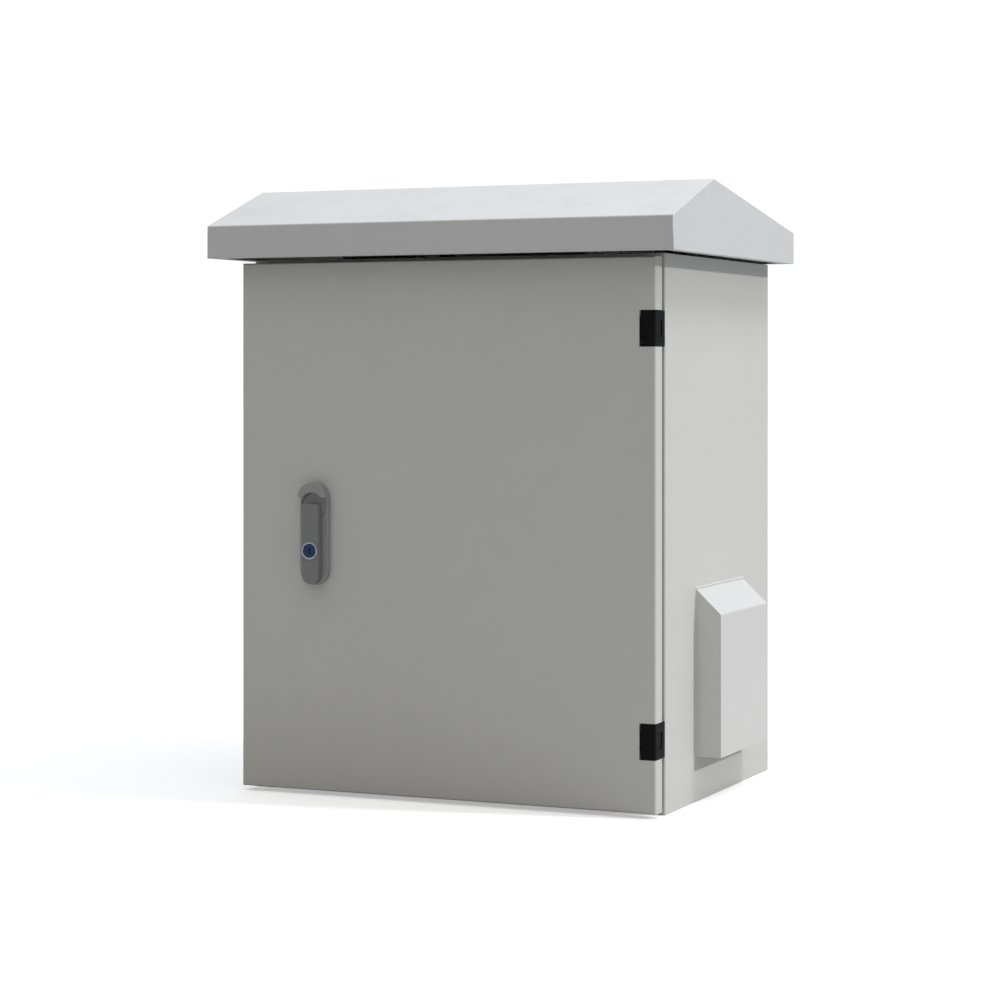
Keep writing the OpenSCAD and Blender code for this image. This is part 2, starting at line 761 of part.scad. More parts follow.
lock_x = -half_w + lock_inset;
plate_front = door_front - plate_t;
plate_top = spindle_z + turret_d / 2 + 14;
plate_bottom = plate_top - plate_l;
barrel_r = 11;
barrel_end = shell_front - 3;
shaft_r = 7;
square_s = 8;
case_front = barrel_end - 6;
gear_t = 5;
rod_y0 = shell_front + sheet_t + 1;        // front face of the rods, behind the door frame
case_back = rod_y0 + gear_t + 5;
head_sunk = 1.5;             // how far the turning head lies below the plate's face
handle_back = plate_front - 1;
handle_front = handle_back - handle_t;
handle_top = spindle_z + 3;
handle_wall = 2.5;
pivot_z = spindle_z - 5;
pivot_y = handle_back - 4;
pivot_r = 2;
lug_r = 3.6;
shield_t = 8;                              // how far the shield above the head stands out
shield_gap = 0.6;                          // between the turning head and its seat
fork_in = 5;
fork_out = 8.5;
key_z = spindle_z - key_drop;
cylinder_r = 7;
plug_r = 5;
ring_r = handle_w / 2 - 0.2;
ring_t = 1.6;
cap_r = ring_r - 2.6;
cap_t = 1;
tongue_r = 9.2;
tongue_t = 1.5;
tongue_y = handle_back - 3.7;              // front face of the key's tongue
catch_low = key_z - 12.5;
catch_post = key_z - tongue_r - 0.6;       // top of the catch's post, below the tongue
catch_nose = key_z - cylinder_r - 0.3;     // top of the catch's nose, in front of the tongue

// A bar with round ends, along Z, drawn in X and Z.
module stadium(low, high, w) {
    translate([-w / 2, low + w / 2]) square([w, high - low - w]);
    for (z = [low + w / 2, high - w / 2]) translate([0, z]) circle(w / 2);
}

module lock_plate() {
    color([0.62, 0.62, 0.62]) translate([lock_x, 0, 0]) difference() {
        union() {
            along_y(plate_t, plate_front) stadium(plate_bottom, plate_top, plate_w);
            along_y(shield_t + eps, plate_front - shield_t) difference() {
                stadium(plate_bottom, plate_top, plate_w);
                translate([0, spindle_z]) circle(turret_d / 2 + shield_gap);
                translate([-plate_w, plate_bottom - 1])
                    square([2 * plate_w, spindle_z + handle_w / 2 + 1 - plate_bottom]);
            }
            rod_y(barrel_r, barrel_end - door_front, [0, door_front, spindle_z]);
            block([-3, tongue_y - fit - 1.2, catch_low], [3, plate_front, catch_post]);
            block([-3, tongue_y - fit - 1.2, catch_low], [3, tongue_y - fit, catch_nose]);
        }
        rod_y(turret_d / 2 + shield_gap, head_deep, [0, plate_front, spindle_z]);
        rod_y(shaft_r + run_fit, 60, [0, plate_front, spindle_z]);
    }
}

module lock_nut() {
    color("silver") translate([lock_x, door_skin, spindle_z]) rotate([-90, 0, 0]) difference() {
        cylinder(r = 17, h = 6, $fn = 6);
        translate([0, 0, -1]) cylinder(r = barrel_r, h = 8);
    }
}

head_deep = plate_t - 2.5;                 // depth of the head's seat in the plate

// The turning head with a fork for the handle, and its shaft down to the gear.
module lock_spindle() {
    floor_y = plate_front + head_sunk;     // the head's face, behind the handle
    color([0.58, 0.58, 0.58]) translate([lock_x, 0, 0]) union() {
        rod_y(turret_d / 2, head_deep - head_sunk - fit, [0, floor_y, spindle_z]);
        for (x = [-fork_out, fork_in]) difference() {
            union() {
                rod_x(lug_r, fork_out - fork_in, [x, pivot_y, pivot_z]);
                block([x, pivot_y, pivot_z - lug_r],
                      [x + fork_out - fork_in, floor_y + 1, pivot_z + lug_r]);
            }
            rod_x(pivot_r, fork_out, [x - 1, pivot_y, pivot_z]);
        }
        rod_y(shaft_r, barrel_end + 2 - floor_y - 1, [0, floor_y + 1, spindle_z]);
        block([-square_s / 2, barrel_end, spindle_z - square_s / 2],
              [square_s / 2, case_back - 2, spindle_z + square_s / 2]);
    }
}

module handle_pin() {
    color("silver") rod_x(pivot_r, 2 * fork_out + 1.6, [lock_x - fork_out - 0.8, pivot_y, pivot_z]);
}

// A hollow-backed lever with a lug for its cross pin and a boss round the key cylinder.
module lock_handle() {
    low = plate_bottom + 2;
    boss_r = cylinder_r + 1.6;
    inside = handle_w / 2 - handle_wall;
    color([0.68, 0.68, 0.68]) translate([lock_x, 0, 0]) difference() {
        union() {
            difference() {
                along_y(handle_t, handle_front) union() {
                    translate([-handle_w / 2, low + handle_w / 2])
                        square([handle_w, handle_top - low - handle_w / 2]);
                    translate([0, low + handle_w / 2]) circle(handle_w / 2);
                }
                along_y(handle_t, handle_front + handle_wall) union() {
                    translate([-inside, low + handle_w / 2])
                        square([2 * inside, handle_top - low]);
                    translate([0, low + handle_w / 2]) circle(inside);
                }
            }
            rod_x(lug_r, 2 * fork_in - 2 * fit, [-fork_in + fit, pivot_y, pivot_z]);
            block([-fork_in + fit, handle_front + 1, pivot_z - lug_r],
                  [fork_in - fit, pivot_y, pivot_z + lug_r]);
            rod_y(boss_r, handle_t - 7, [0, handle_front, key_z]);
        }
        rod_x(pivot_r + run_fit, 2 * fork_in, [-fork_in, pivot_y, pivot_z]);
        rod_y(cylinder_r, 20, [0, handle_front - 5, key_z]);
        block([-handle_w, handle_back - 6, key_z - 13.5], [0, handle_back + 1, key_z - 5]);
        // The upper back corner is cut away so that it clears the head as the handle tilts.
        along_x(2 * handle_w) polygon([[handle_back + 1, pivot_z + 1.2],
            [pivot_y + 4, pivot_z + 1.2], [pivot_y - 1, handle_top + eps],
            [handle_back + 1, handle_top + eps]]);
    }
}

// The lock cylinder's case, with a bright ring round its face.
module key_cylinder() {
    color([0.8, 0.8, 0.82]) translate([lock_x, 0, key_z]) difference() {
        union() {
            rod_y(ring_r, ring_t, [0, handle_front - ring_t, 0]);
            rod_y(cylinder_r, handle_t - 5, [0, handle_front, 0]);
        }
        rod_y(plug_r + run_fit, 30, [0, handle_front - 5, 0]);
        rod_y(cap_r + fit, cap_t, [0, handle_front - ring_t, 0]);
    }
}

// The turning plug with a keyway, and the tongue behind it.
module key_plug() {
    front = handle_front - ring_t;
    color([0.05, 0.18, 0.35]) translate([lock_x, 0, key_z]) difference() {
        union() {
            rod_y(cap_r, cap_t, [0, front, 0]);
            rod_y(plug_r, tongue_y + tongue_t - front, [0, front, 0]);
            intersection() {
                rod_y(tongue_r, tongue_t, [0, tongue_y, 0]);
                block([0, tongue_y - 1, -2.5], [tongue_r, tongue_y + 2 * tongue_t, 2.5]);
            }
        }
        block([-0.7, front - 1, -3.5], [0.7, front + 4, 3.5]);
    }
}

// ---------------------------------------------------------------- rod drive

tooth_count = 12;
quarter = PI / 2;
pitch_r = rod_travel / quarter;            // a quarter turn moves each rod by its travel
module_m = 2 * pitch_r / tooth_count;
addendum = 0.65 * module_m;
dedendum = 0.9 * module_m;
pressure = 20;
backlash = 0.18;
base_r = pitch_r * cos(pressure);
tip_r = pitch_r + addendum;
root_r = pitch_r - dedendum;
bar_w = 12;
rack_teeth = 6;

function involute_angle(r) = let (a = acos(base_r / r)) tan(a) * 180 / PI - a;

// One tooth, as points round the pinion, about an angle.
function tooth(angle) =
    let (half = 90 / tooth_count - backlash / pitch_r * 90 / PI,
         at_pitch = involute_angle(pitch_r),
         radii = [for (i = [0:4]) base_r + (tip_r - base_r) * i / 4],
         right = [for (r = radii) [r, -(half + at_pitch - involute_angle(r))]],
         left = [for (p = reversed(right)) [p[0], -p[1]]],
         flank = half + at_pitch)
    [for (p = concat([[root_r, -flank]], right, left, [[root_r, flank]]))
        p[0] * [cos(angle + p[1]), sin(angle + p[1])]];

module drive_pinion() {
    color([0.55, 0.5, 0.4]) translate([lock_x, rod_y0 + gear_t, spindle_z]) rotate([90, 0, 0])
        linear_extrude(gear_t) difference() {
            polygon([for (i = [0:tooth_count - 1]) each tooth(i * 360 / tooth_count)]);
            square(square_s, center = true);
        }
}

// The toothed edge of a rod, in X and Z, with a gap level with the spindle and teeth towards +X.
module rack_edge() {
    pitch = PI * module_m;
    half = pitch / 4 - backlash / 2;
    for (i = [-rack_teeth:rack_teeth - 1]) translate([0, (i + 0.5) * pitch])
        polygon([[-dedendum - 1, -half - (dedendum + 1) * tan(pressure)],
                 [addendum, -half + addendum * tan(pressure)],
                 [addendum, half - addendum * tan(pressure)],
                 [-dedendum - 1, half + (dedendum + 1) * tan(pressure)]]);
}

rod_gap = 2;

// A flat rod with a rack. side 1 is the upper rod, right of the pinion, and -1 the lower rod.
module lock_rod(side) {
    far = side > 0 ? lip_high - sheet_t - rod_gap : lip_low + sheet_t + rod_gap;
    near = -side * 30;
    low = side > 0 ? near : far - spindle_z;
    high = side > 0 ? far - spindle_z : near;
    color("silver") translate([lock_x, rod_y0 + gear_t, spindle_z]) rotate([90, 0, 0])
        linear_extrude(gear_t) union() {
            translate([side > 0 ? pitch_r + dedendum : -pitch_r - dedendum - bar_w, low])
                square([bar_w, high - low]);
            translate([side * pitch_r, 0]) scale_x(side) rack_edge();
        }
}

// Turns the rack's teeth to face the pinion.
module scale_x(side) {
    if (side > 0) mirror([1, 0]) children();
    else children();
}

case_w = 64;
case_h = 76;

module gear_case() {
    channel = pitch_r - addendum - 1;
    outer = pitch_r + dedendum + bar_w + fit;
    cavity = [rod_y0 - fit, rod_y0 + gear_t + fit];
    color("silver") translate([lock_x, 0, spindle_z]) difference() {
        block([-case_w / 2, case_front, -case_h / 2], [case_w / 2, case_back, case_h / 2]);
        rod_y(tip_r + 0.6, cavity[1] - cavity[0], [0, cavity[0], 0]);
        for (x = [-outer, channel])
            block([x, cavity[0], -case_h / 2 - 1], [x + outer - channel, cavity[1], case_h / 2 + 1]);
        rod_y(barrel_r, barrel_end - case_front + 1, [0, case_front - 1, 0]);
        rod_y(shaft_r + 0.5, cavity[0] - case_front + 1, [0, case_front, 0]);
        rod_y(square_s * 0.75, case_back - case_front + 2, [0, case_front, 0]);
    }
}

guide_t = 2;
guide_w = 30;

// A folded bracket with a window for the rod, welded to the door near the rod's end.
module rod_guide(side) {
    x = lock_x + side * (pitch_r + dedendum + bar_w / 2);
    z = side > 0 ? lip_high - 60 : lip_low + 60;
    color("silver") translate([x, 0, z]) difference() {
        union() {
            block([-guide_w / 2, door_skin, 0], [guide_w / 2, case_back, guide_t]);
            block([-guide_w / 2, door_skin, 0], [guide_w / 2, door_skin + guide_t, 20]);
        }
        block([-bar_w / 2 - fit, rod_y0 - fit, -1],
              [bar_w / 2 + fit, rod_y0 + gear_t + fit, guide_t + 1]);
    }
}

// ---------------------------------------------------------------- nodes

shell();
top_plate();
bottom_plate();
anchor_plates();
roof_cap();
mirror([1, 0, 0]) roof_bracket();  // roof_bracket_left
roof_bracket();  // roof_bracket_right
roof_bolts();
vent_hood();
filter_frame();
filter_mat();
fan_housing();
fan_rotor();
fan_guard();
fan_screws();
rack_rail(-1, rack_front, 1);  // rack_rail_front_left
rack_rail(1, rack_front, 1);  // rack_rail_front_right
rack_rail(-1, rack_front + rack_d, -1);  // rack_rail_rear_left
rack_rail(1, rack_front + rack_d, -1);  // rack_rail_rear_right
rail_strut(-1, false);  // rail_strut_lower_left
rail_strut(1, false);  // rail_strut_lower_right
rail_strut(-1, true);  // rail_strut_upper_left
rail_strut(1, true);  // rail_strut_upper_right
gland_plate();
cable_grommet(-1);  // cable_grommet_left
cable_grommet(1);  // cable_grommet_right
gland_plate_screws();
earth_bar();
earth_insulators();
earth_screws();
hinge_frame_leaf(hinge_z[1]);  // hinge_frame_leaf_upper
hinge_frame_leaf(hinge_z[0]);  // hinge_frame_leaf_lower
hinge_pin(hinge_z[1]);  // hinge_pin_upper
hinge_pin(hinge_z[0]);  // hinge_pin_lower
door_panel();
door_seal();
door_stiffener();
hinge_door_leaf(hinge_z[1]);  // hinge_door_leaf_upper
hinge_door_leaf(hinge_z[0]);  // hinge_door_leaf_lower
hinge_nuts();
lock_plate();
lock_nut();
gear_case();
rod_guide(1);  // rod_guide_upper
rod_guide(-1);  // rod_guide_lower
lock_spindle();
drive_pinion();
lock_handle();
handle_pin();
key_cylinder();
key_plug();
lock_rod(1);  // upper_rod
lock_rod(-1);  // lower_rod
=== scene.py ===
import json
import math

import bmesh
import bpy
from mathutils import Matrix, Vector, noise

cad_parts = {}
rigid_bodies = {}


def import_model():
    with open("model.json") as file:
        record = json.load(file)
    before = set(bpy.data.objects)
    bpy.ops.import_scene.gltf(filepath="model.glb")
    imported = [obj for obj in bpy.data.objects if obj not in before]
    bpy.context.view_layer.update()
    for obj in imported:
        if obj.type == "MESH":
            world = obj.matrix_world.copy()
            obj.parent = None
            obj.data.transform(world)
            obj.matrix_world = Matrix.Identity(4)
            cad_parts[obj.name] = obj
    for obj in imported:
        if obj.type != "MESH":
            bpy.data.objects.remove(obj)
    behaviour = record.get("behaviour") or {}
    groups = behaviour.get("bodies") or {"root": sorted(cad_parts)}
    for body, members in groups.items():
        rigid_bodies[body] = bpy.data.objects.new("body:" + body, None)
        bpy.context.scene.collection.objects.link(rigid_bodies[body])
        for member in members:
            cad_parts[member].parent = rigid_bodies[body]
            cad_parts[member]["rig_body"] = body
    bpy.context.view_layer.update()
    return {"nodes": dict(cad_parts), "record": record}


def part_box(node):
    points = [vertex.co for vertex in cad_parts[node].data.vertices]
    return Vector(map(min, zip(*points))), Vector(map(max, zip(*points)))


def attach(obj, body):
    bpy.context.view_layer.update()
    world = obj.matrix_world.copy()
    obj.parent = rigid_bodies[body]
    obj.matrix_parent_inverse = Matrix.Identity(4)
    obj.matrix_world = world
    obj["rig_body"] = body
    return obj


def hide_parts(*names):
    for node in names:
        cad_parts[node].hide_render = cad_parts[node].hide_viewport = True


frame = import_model()

MM = 0.001
ALONG_X = (1, 0, 0)
ALONG_Y = (0, 1, 0)
ALONG_Z = (0, 0, 1)
SAME_POINT = 0.002 * MM     # corners of a CAD mesh that are closer than this are one corner


# ---------------------------------------------------------------- nodes and groups

def add(tree, kind, **settings):
    """Adds a shader node of a kind to a tree."""
    made = tree.nodes.new("ShaderNode" + kind)
    for name, value in settings.items():
        setattr(made, name, value)
    return made


def feed(tree, target, value):
    """Sets a socket to a plain value, or wires another socket into it."""
    if isinstance(value, bpy.types.NodeSocket):
        tree.links.new(value, target)
    else:
        target.default_value = value


def place(tree, stretch=(1, 1, 1)):
    """Object coordinates, squeezed by a share along each axis."""
    at = add(tree, "TexCoord").outputs["Object"]
    mapping = add(tree, "Mapping")
    mapping.inputs["Scale"].default_value = stretch
    tree.links.new(at, mapping.inputs["Vector"])
    return mapping.outputs["Vector"]


def cloud(tree, at, scale, detail=3.0, rough=0.5):
    """A soft noise from 0 to 1 with so many lumps to the metre."""
    made = add(tree, "TexNoise")
    tree.links.new(at, made.inputs["Vector"])
    feed(tree, made.inputs["Scale"], scale)
    made.inputs["Detail"].default_value = detail
    made.inputs["Roughness"].default_value = rough
    return made.outputs["Fac"]


def cells(tree, at, scale, output="Distance"):
    """A pattern of cells with so many to the metre."""
    made = add(tree, "TexVoronoi")
    tree.links.new(at, made.inputs["Vector"])
    feed(tree, made.inputs["Scale"], scale)
    return made.outputs[output]


def sums(tree, operation, first, second=0.0):
    """One sum on two values."""
    made = add(tree, "Math", operation=operation)
    feed(tree, made.inputs[0], first)
    feed(tree, made.inputs[1], second)
    return made.outputs[0]


def ramp(tree, value, low, high, to_low=0.0, to_high=1.0):
    """Moves a value from one range to another and holds it there."""
    made = add(tree, "MapRange", interpolation_type="SMOOTHSTEP")
    for name, given in (("Value", value), ("From Min", low), ("From Max", high),
                        ("To Min", to_low), ("To Max", to_high)):
        feed(tree, made.inputs[name], given)
    return made.outputs["Result"]


def tint(tree, share, first, second, blend="MIX"):
    """Mixes two colours by a share from 0 to 1.

    A mix node names its sockets alike for each kind of value, so the colour ones go by number."""
    made = add(tree, "Mix", data_type="RGBA", blend_type=blend)
    feed(tree, made.inputs[0], share)
    feed(tree, made.inputs[6], first)
    feed(tree, made.inputs[7], second)
    return made.outputs[2]


def shade(tree, colour, value):
    """Brightens or darkens a colour by a value near 1."""
    made = add(tree, "VectorMath", operation="SCALE")
    feed(tree, made.inputs["Vector"], colour)
    feed(tree, made.inputs["Scale"], value)
    return made.outputs["Vector"]


def swing(tree, value, reach):
    """Turns a noise from 0 to 1 into a value near 1 that varies by a reach."""
    return sums(tree, "ADD", sums(tree, "MULTIPLY", sums(tree, "SUBTRACT", value, 0.5), reach), 1.0)


def new_group(name, inputs, outputs):
    """A shader node group with named sockets, and the sockets at its two ends."""
    tree = bpy.data.node_groups.new(name, "ShaderNodeTree")
    for label, value in inputs:
        kind = "NodeSocketFloat" if isinstance(value, float) else "NodeSocketColor"
        tree.interface.new_socket(name=label, in_out="INPUT", socket_type=kind).default_value = value
    for label, kind in outputs:
        tree.interface.new_socket(name=label, in_out="OUTPUT", socket_type="NodeSocket" + kind)
    return tree, tree.nodes.new("NodeGroupInput").outputs, tree.nodes.new("NodeGroupOutput").inputs


# What each group for a whole surface puts out.
SKIN = [("Colour", "Color"), ("Roughness", "Float"), ("Height", "Float")]


def powder_coat_group():
    """Cured powder paint: faint clouds in the colour, uneven gloss, and orange peel."""
    tree, given, out = new_group(
        "powder_coat",
        [("Paint", (0.6, 0.6, 0.6, 1)), ("Clouds", 0.08), ("Gloss", 0.4), ("Peel", 420.0)], SKIN)
    at = place(tree)
    close = cloud(tree, at, 38.0, 4.0, 0.6)
    both = sums(tree, "MULTIPLY", sums(tree, "ADD", cloud(tree, at, 4.5, 5.0, 0.6), close), 0.5)
    feed(tree, out["Colour"], shade(tree, given["Paint"], swing(tree, both, given["Clouds"])))
    feed(tree, out["Roughness"], sums(tree, "MULTIPLY", given["Gloss"], swing(tree, close, 0.35)))
    feed(tree, out["Height"], cloud(tree, at, given["Peel"], 1.5, 0.45))
    return tree


def settled_dust_group():
    """A mask of dust that has settled on whatever faces upwards."""
    tree, given, out = new_group("settled_dust", [("Amount", 0.3), ("Lumps", 16.0)],
                                 [("Mask", "Float")])
    facing = add(tree, "SeparateXYZ")
    tree.links.new(add(tree, "NewGeometry").outputs["Normal"], facing.inputs["Vector"])
    upward = ramp(tree, facing.outputs["Z"], 0.55, 0.98)
    patches = ramp(tree, cloud(tree, place(tree), given["Lumps"], 6.0, 0.65), 0.38, 0.72)
    feed(tree, out["Mask"], sums(tree, "MULTIPLY", sums(tree, "MULTIPLY", upward, patches),
                                 given["Amount"]))
    return tree


def painted_edge_highlight_group():
    """A mask of painted highlight along the edges, broken up by noise."""
    tree, given, out = new_group("painted_edge_highlight", [("Width", 0.0012), ("Amount", 0.6)],
                                 [("Mask", "Float")])
    eased = add(tree, "Bevel", samples=4)
    tree.links.new(given["Width"], eased.inputs["Radius"])
    apart = add(tree, "VectorMath", operation="DOT_PRODUCT")
    tree.links.new(eased.outputs["Normal"], apart.inputs[0])
    tree.links.new(add(tree, "NewGeometry").outputs["Normal"], apart.inputs[1])
    edge = ramp(tree, sums(tree, "SUBTRACT", 1.0, apart.outputs["Value"]), 0.02, 0.2)
    broken = ramp(tree, cloud(tree, place(tree), 130.0, 5.0, 0.7), 0.4, 0.62)
    feed(tree, out["Mask"], sums(tree, "MULTIPLY", sums(tree, "MULTIPLY", edge, broken),
                                 given["Amount"]))
    return tree


def zinc_group():
    """Zinc on steel: grains of differing brightness, rolling lines, and a dull bloom."""
    tree, given, out = new_group(
        "zinc_plate",
        [("Zinc", (0.5, 0.5, 0.5, 1)), ("Grains", 160.0), ("Contrast", 0.25), ("Gloss", 0.38)], SKIN)
    grain = add(tree, "SeparateColor")
    tree.links.new(cells(tree, place(tree), given["Grains"], "Color"), grain.inputs["Color"])
    bloom = cloud(tree, place(tree), 22.0, 6.0, 0.65)
    lines = cloud(tree, place(tree, (1, 1, 0.04)), 900.0, 2.0)
    tone = sums(tree, "MULTIPLY", swing(tree, grain.outputs["Red"], given["Contrast"]),
                swing(tree, bloom, 0.3))
    feed(tree, out["Colour"], shade(tree, given["Zinc"], tone))
    feed(tree, out["Roughness"], sums(tree, "MULTIPLY", given["Gloss"],
                                      sums(tree, "MULTIPLY", swing(tree, grain.outputs["Green"], 0.5),
                                           swing(tree, bloom, 0.6))))
    feed(tree, out["Height"], lines)
    return tree


def moulded_group():
    """A moulded or cast skin: fine sandy grain with a little flow in its tone."""
    tree, given, out = new_group(
        "moulded_skin",
        [("Base", (0.1, 0.1, 0.1, 1)), ("Grain", 900.0), ("Gloss", 0.5), ("Flow", 0.2)], SKIN)
    at = place(tree)
    flow = cloud(tree, at, 30.0, 4.0, 0.55)
    feed(tree, out["Colour"], shade(tree, given["Base"], swing(tree, flow, given["Flow"])))
    feed(tree, out["Roughness"], sums(tree, "MULTIPLY", given["Gloss"],
                                      swing(tree, cloud(tree, at, 140.0, 3.0), 0.5)))
    feed(tree, out["Height"], cloud(tree, at, given["Grain"], 2.0, 0.6))
    return tree


POWDER_COAT = powder_coat_group()
SETTLED_DUST = settled_dust_group()
# A mask for the painted highlight along edges.
PAINTED_EDGE_HIGHLIGHT = painted_edge_highlight_group()
ZINC_PLATE = zinc_group()
MOULDED_SKIN = moulded_group()


# ---------------------------------------------------------------- finishes

DUST = (0.42, 0.39, 0.34, 1)
GRIME = (0.3, 0.28, 0.25, 1)
BROWNED = (0.28, 0.12, 0.07, 1)


def use(tree, group, **values):
    """Places a node group in a material with its own values."""
    made = add(tree, "Group", node_tree=group)
    for name, value in values.items():
        feed(tree, made.inputs[name], value)
    return made.outputs


def new_finish(name, **sockets):
    """A material whose shader has some sockets set to plain values."""
    material = bpy.data.materials.new(name)
    material.use_nodes = True
    tree = material.node_tree
    shader = tree.nodes["Principled BSDF"]
    for label, value in sockets.items():
        shader.inputs[label.replace("_", " ")].default_value = value
    return material, tree, shader.inputs


def raise_skin(tree, sockets, height, depth):
    """Feeds a height to the shader's normal, as relief so many metres deep."""
    bump = add(tree, "Bump")
    bump.inputs["Distance"].default_value = depth
    tree.links.new(height, bump.inputs["Height"])
    tree.links.new(bump.outputs["Normal"], sockets["Normal"])


def painted(name, paint, gloss=0.42, clouds=0.09, dust=0.35):
    """Light powder paint with dust on its level faces."""
    material, tree, sockets = new_finish(name, IOR=1.5)
    coat = use(tree, POWDER_COAT, Paint=(*paint, 1), Gloss=gloss, Clouds=clouds)
    mask = use(tree, SETTLED_DUST, Amount=dust)["Mask"]
    feed(tree, sockets["Base Color"], tint(tree, mask, coat["Colour"], DUST))
    feed(tree, sockets["Roughness"], sums(tree, "ADD", coat["Roughness"],
                                          sums(tree, "MULTIPLY", mask, 0.4)))
    raise_skin(tree, sockets, coat["Height"], 0.00003)
    return material


def zinc_plated(name, zinc, grains=160.0, contrast=0.25, gloss=0.36):
    """Zinc-plated or galvanised steel."""
    material, tree, sockets = new_finish(name, Metallic=1.0)
    skin = use(tree, ZINC_PLATE, Zinc=(*zinc, 1), Grains=grains, Contrast=contrast, Gloss=gloss)
    feed(tree, sockets["Base Color"], skin["Colour"])
    feed(tree, sockets["Roughness"], skin["Roughness"])
    raise_skin(tree, sockets, skin["Height"], 0.00002)
    return material


def moulded(name, base, grain=900.0, gloss=0.5, flow=0.2, depth=0.00004, edge_highlight=None, **sockets):
    """Moulded plastic, rubber or a coated casting, with a painted highlight along its edges where an
    edge colour is given.
    """
    material, tree, inputs = new_finish(name, **sockets)
    skin = use(tree, MOULDED_SKIN, Base=(*base, 1), Grain=grain, Gloss=gloss, Flow=flow)
    colour = skin["Colour"]
    # Lightens the edges towards the given colour: a painted highlight.
    if edge_highlight:
        colour = tint(tree, use(tree, PAINTED_EDGE_HIGHLIGHT)["Mask"], colour, (*edge_highlight, 1))
    feed(tree, inputs["Base Color"], colour)
    feed(tree, inputs["Roughness"], skin["Roughness"])
    raise_skin(tree, inputs, skin["Height"], depth)
    return material


def foam(name, base):
    """Foamed rubber with its small open cells, darkened towards their bottoms with painted shade."""
    material, tree, sockets = new_finish(name)
    pores = cells(tree, place(tree), 1400.0)
    skin = use(tree, MOULDED_SKIN, Base=(*base, 1), Grain=500.0, Gloss=0.9, Flow=0.5)
    # Each pore's colour darkens towards its bottom: painted shade in the pits.
    feed(tree, sockets["Base Color"], shade(tree, skin["Colour"], ramp(tree, pores, 0.0, 0.5, 0.4, 1.3)))
    feed(tree, sockets["Roughness"], skin["Roughness"])
    raise_skin(tree, sockets, pores, 0.00035)
    return material


def fleece(name, base):
    """Bonded polyester fleece with loose crossing fibres."""
    material, tree, sockets = new_finish(name, Roughness=0.95)
    strands = sums(tree, "MAXIMUM",
                   cloud(tree, place(tree, (1, 0.1, 1)), 1500.0, 3.0, 0.7),
                   cloud(tree, place(tree, (1, 1, 0.1)), 1300.0, 3.0, 0.7))
    grime = ramp(tree, cloud(tree, place(tree), 28.0, 5.0), 0.35, 0.75, 0.0, 0.35)
    clean = shade(tree, base, ramp(tree, strands, 0.45, 0.75, 0.6, 1.1))
    feed(tree, sockets["Base Color"], tint(tree, grime, clean, GRIME))
    raise_skin(tree, sockets, strands, 0.0007)
    return material


def bare_copper(name, base):
    """Drawn copper bar, browned unevenly where it has been handled."""
    material, tree, sockets = new_finish(name, Metallic=1.0)
    brown = ramp(tree, cloud(tree, place(tree), 45.0, 6.0, 0.6), 0.42, 0.72, 0.0, 0.75)
    drawn = cloud(tree, place(tree, (1, 0.03, 1)), 1600.0, 2.0)
    feed(tree, sockets["Base Color"], tint(tree, brown, (*base, 1), BROWNED))
    feed(tree, sockets["Roughness"], ramp(tree, brown, 0.0, 0.75, 0.26, 0.52))
    raise_skin(tree, sockets, drawn, 0.00003)
    return material


def record_colours():
    """The base colour that the record gives each slot."""
    return {entry["slot"]: tuple(entry["base_color"]) for entry in frame["record"]["materials"]}


COLOUR = record_colours()

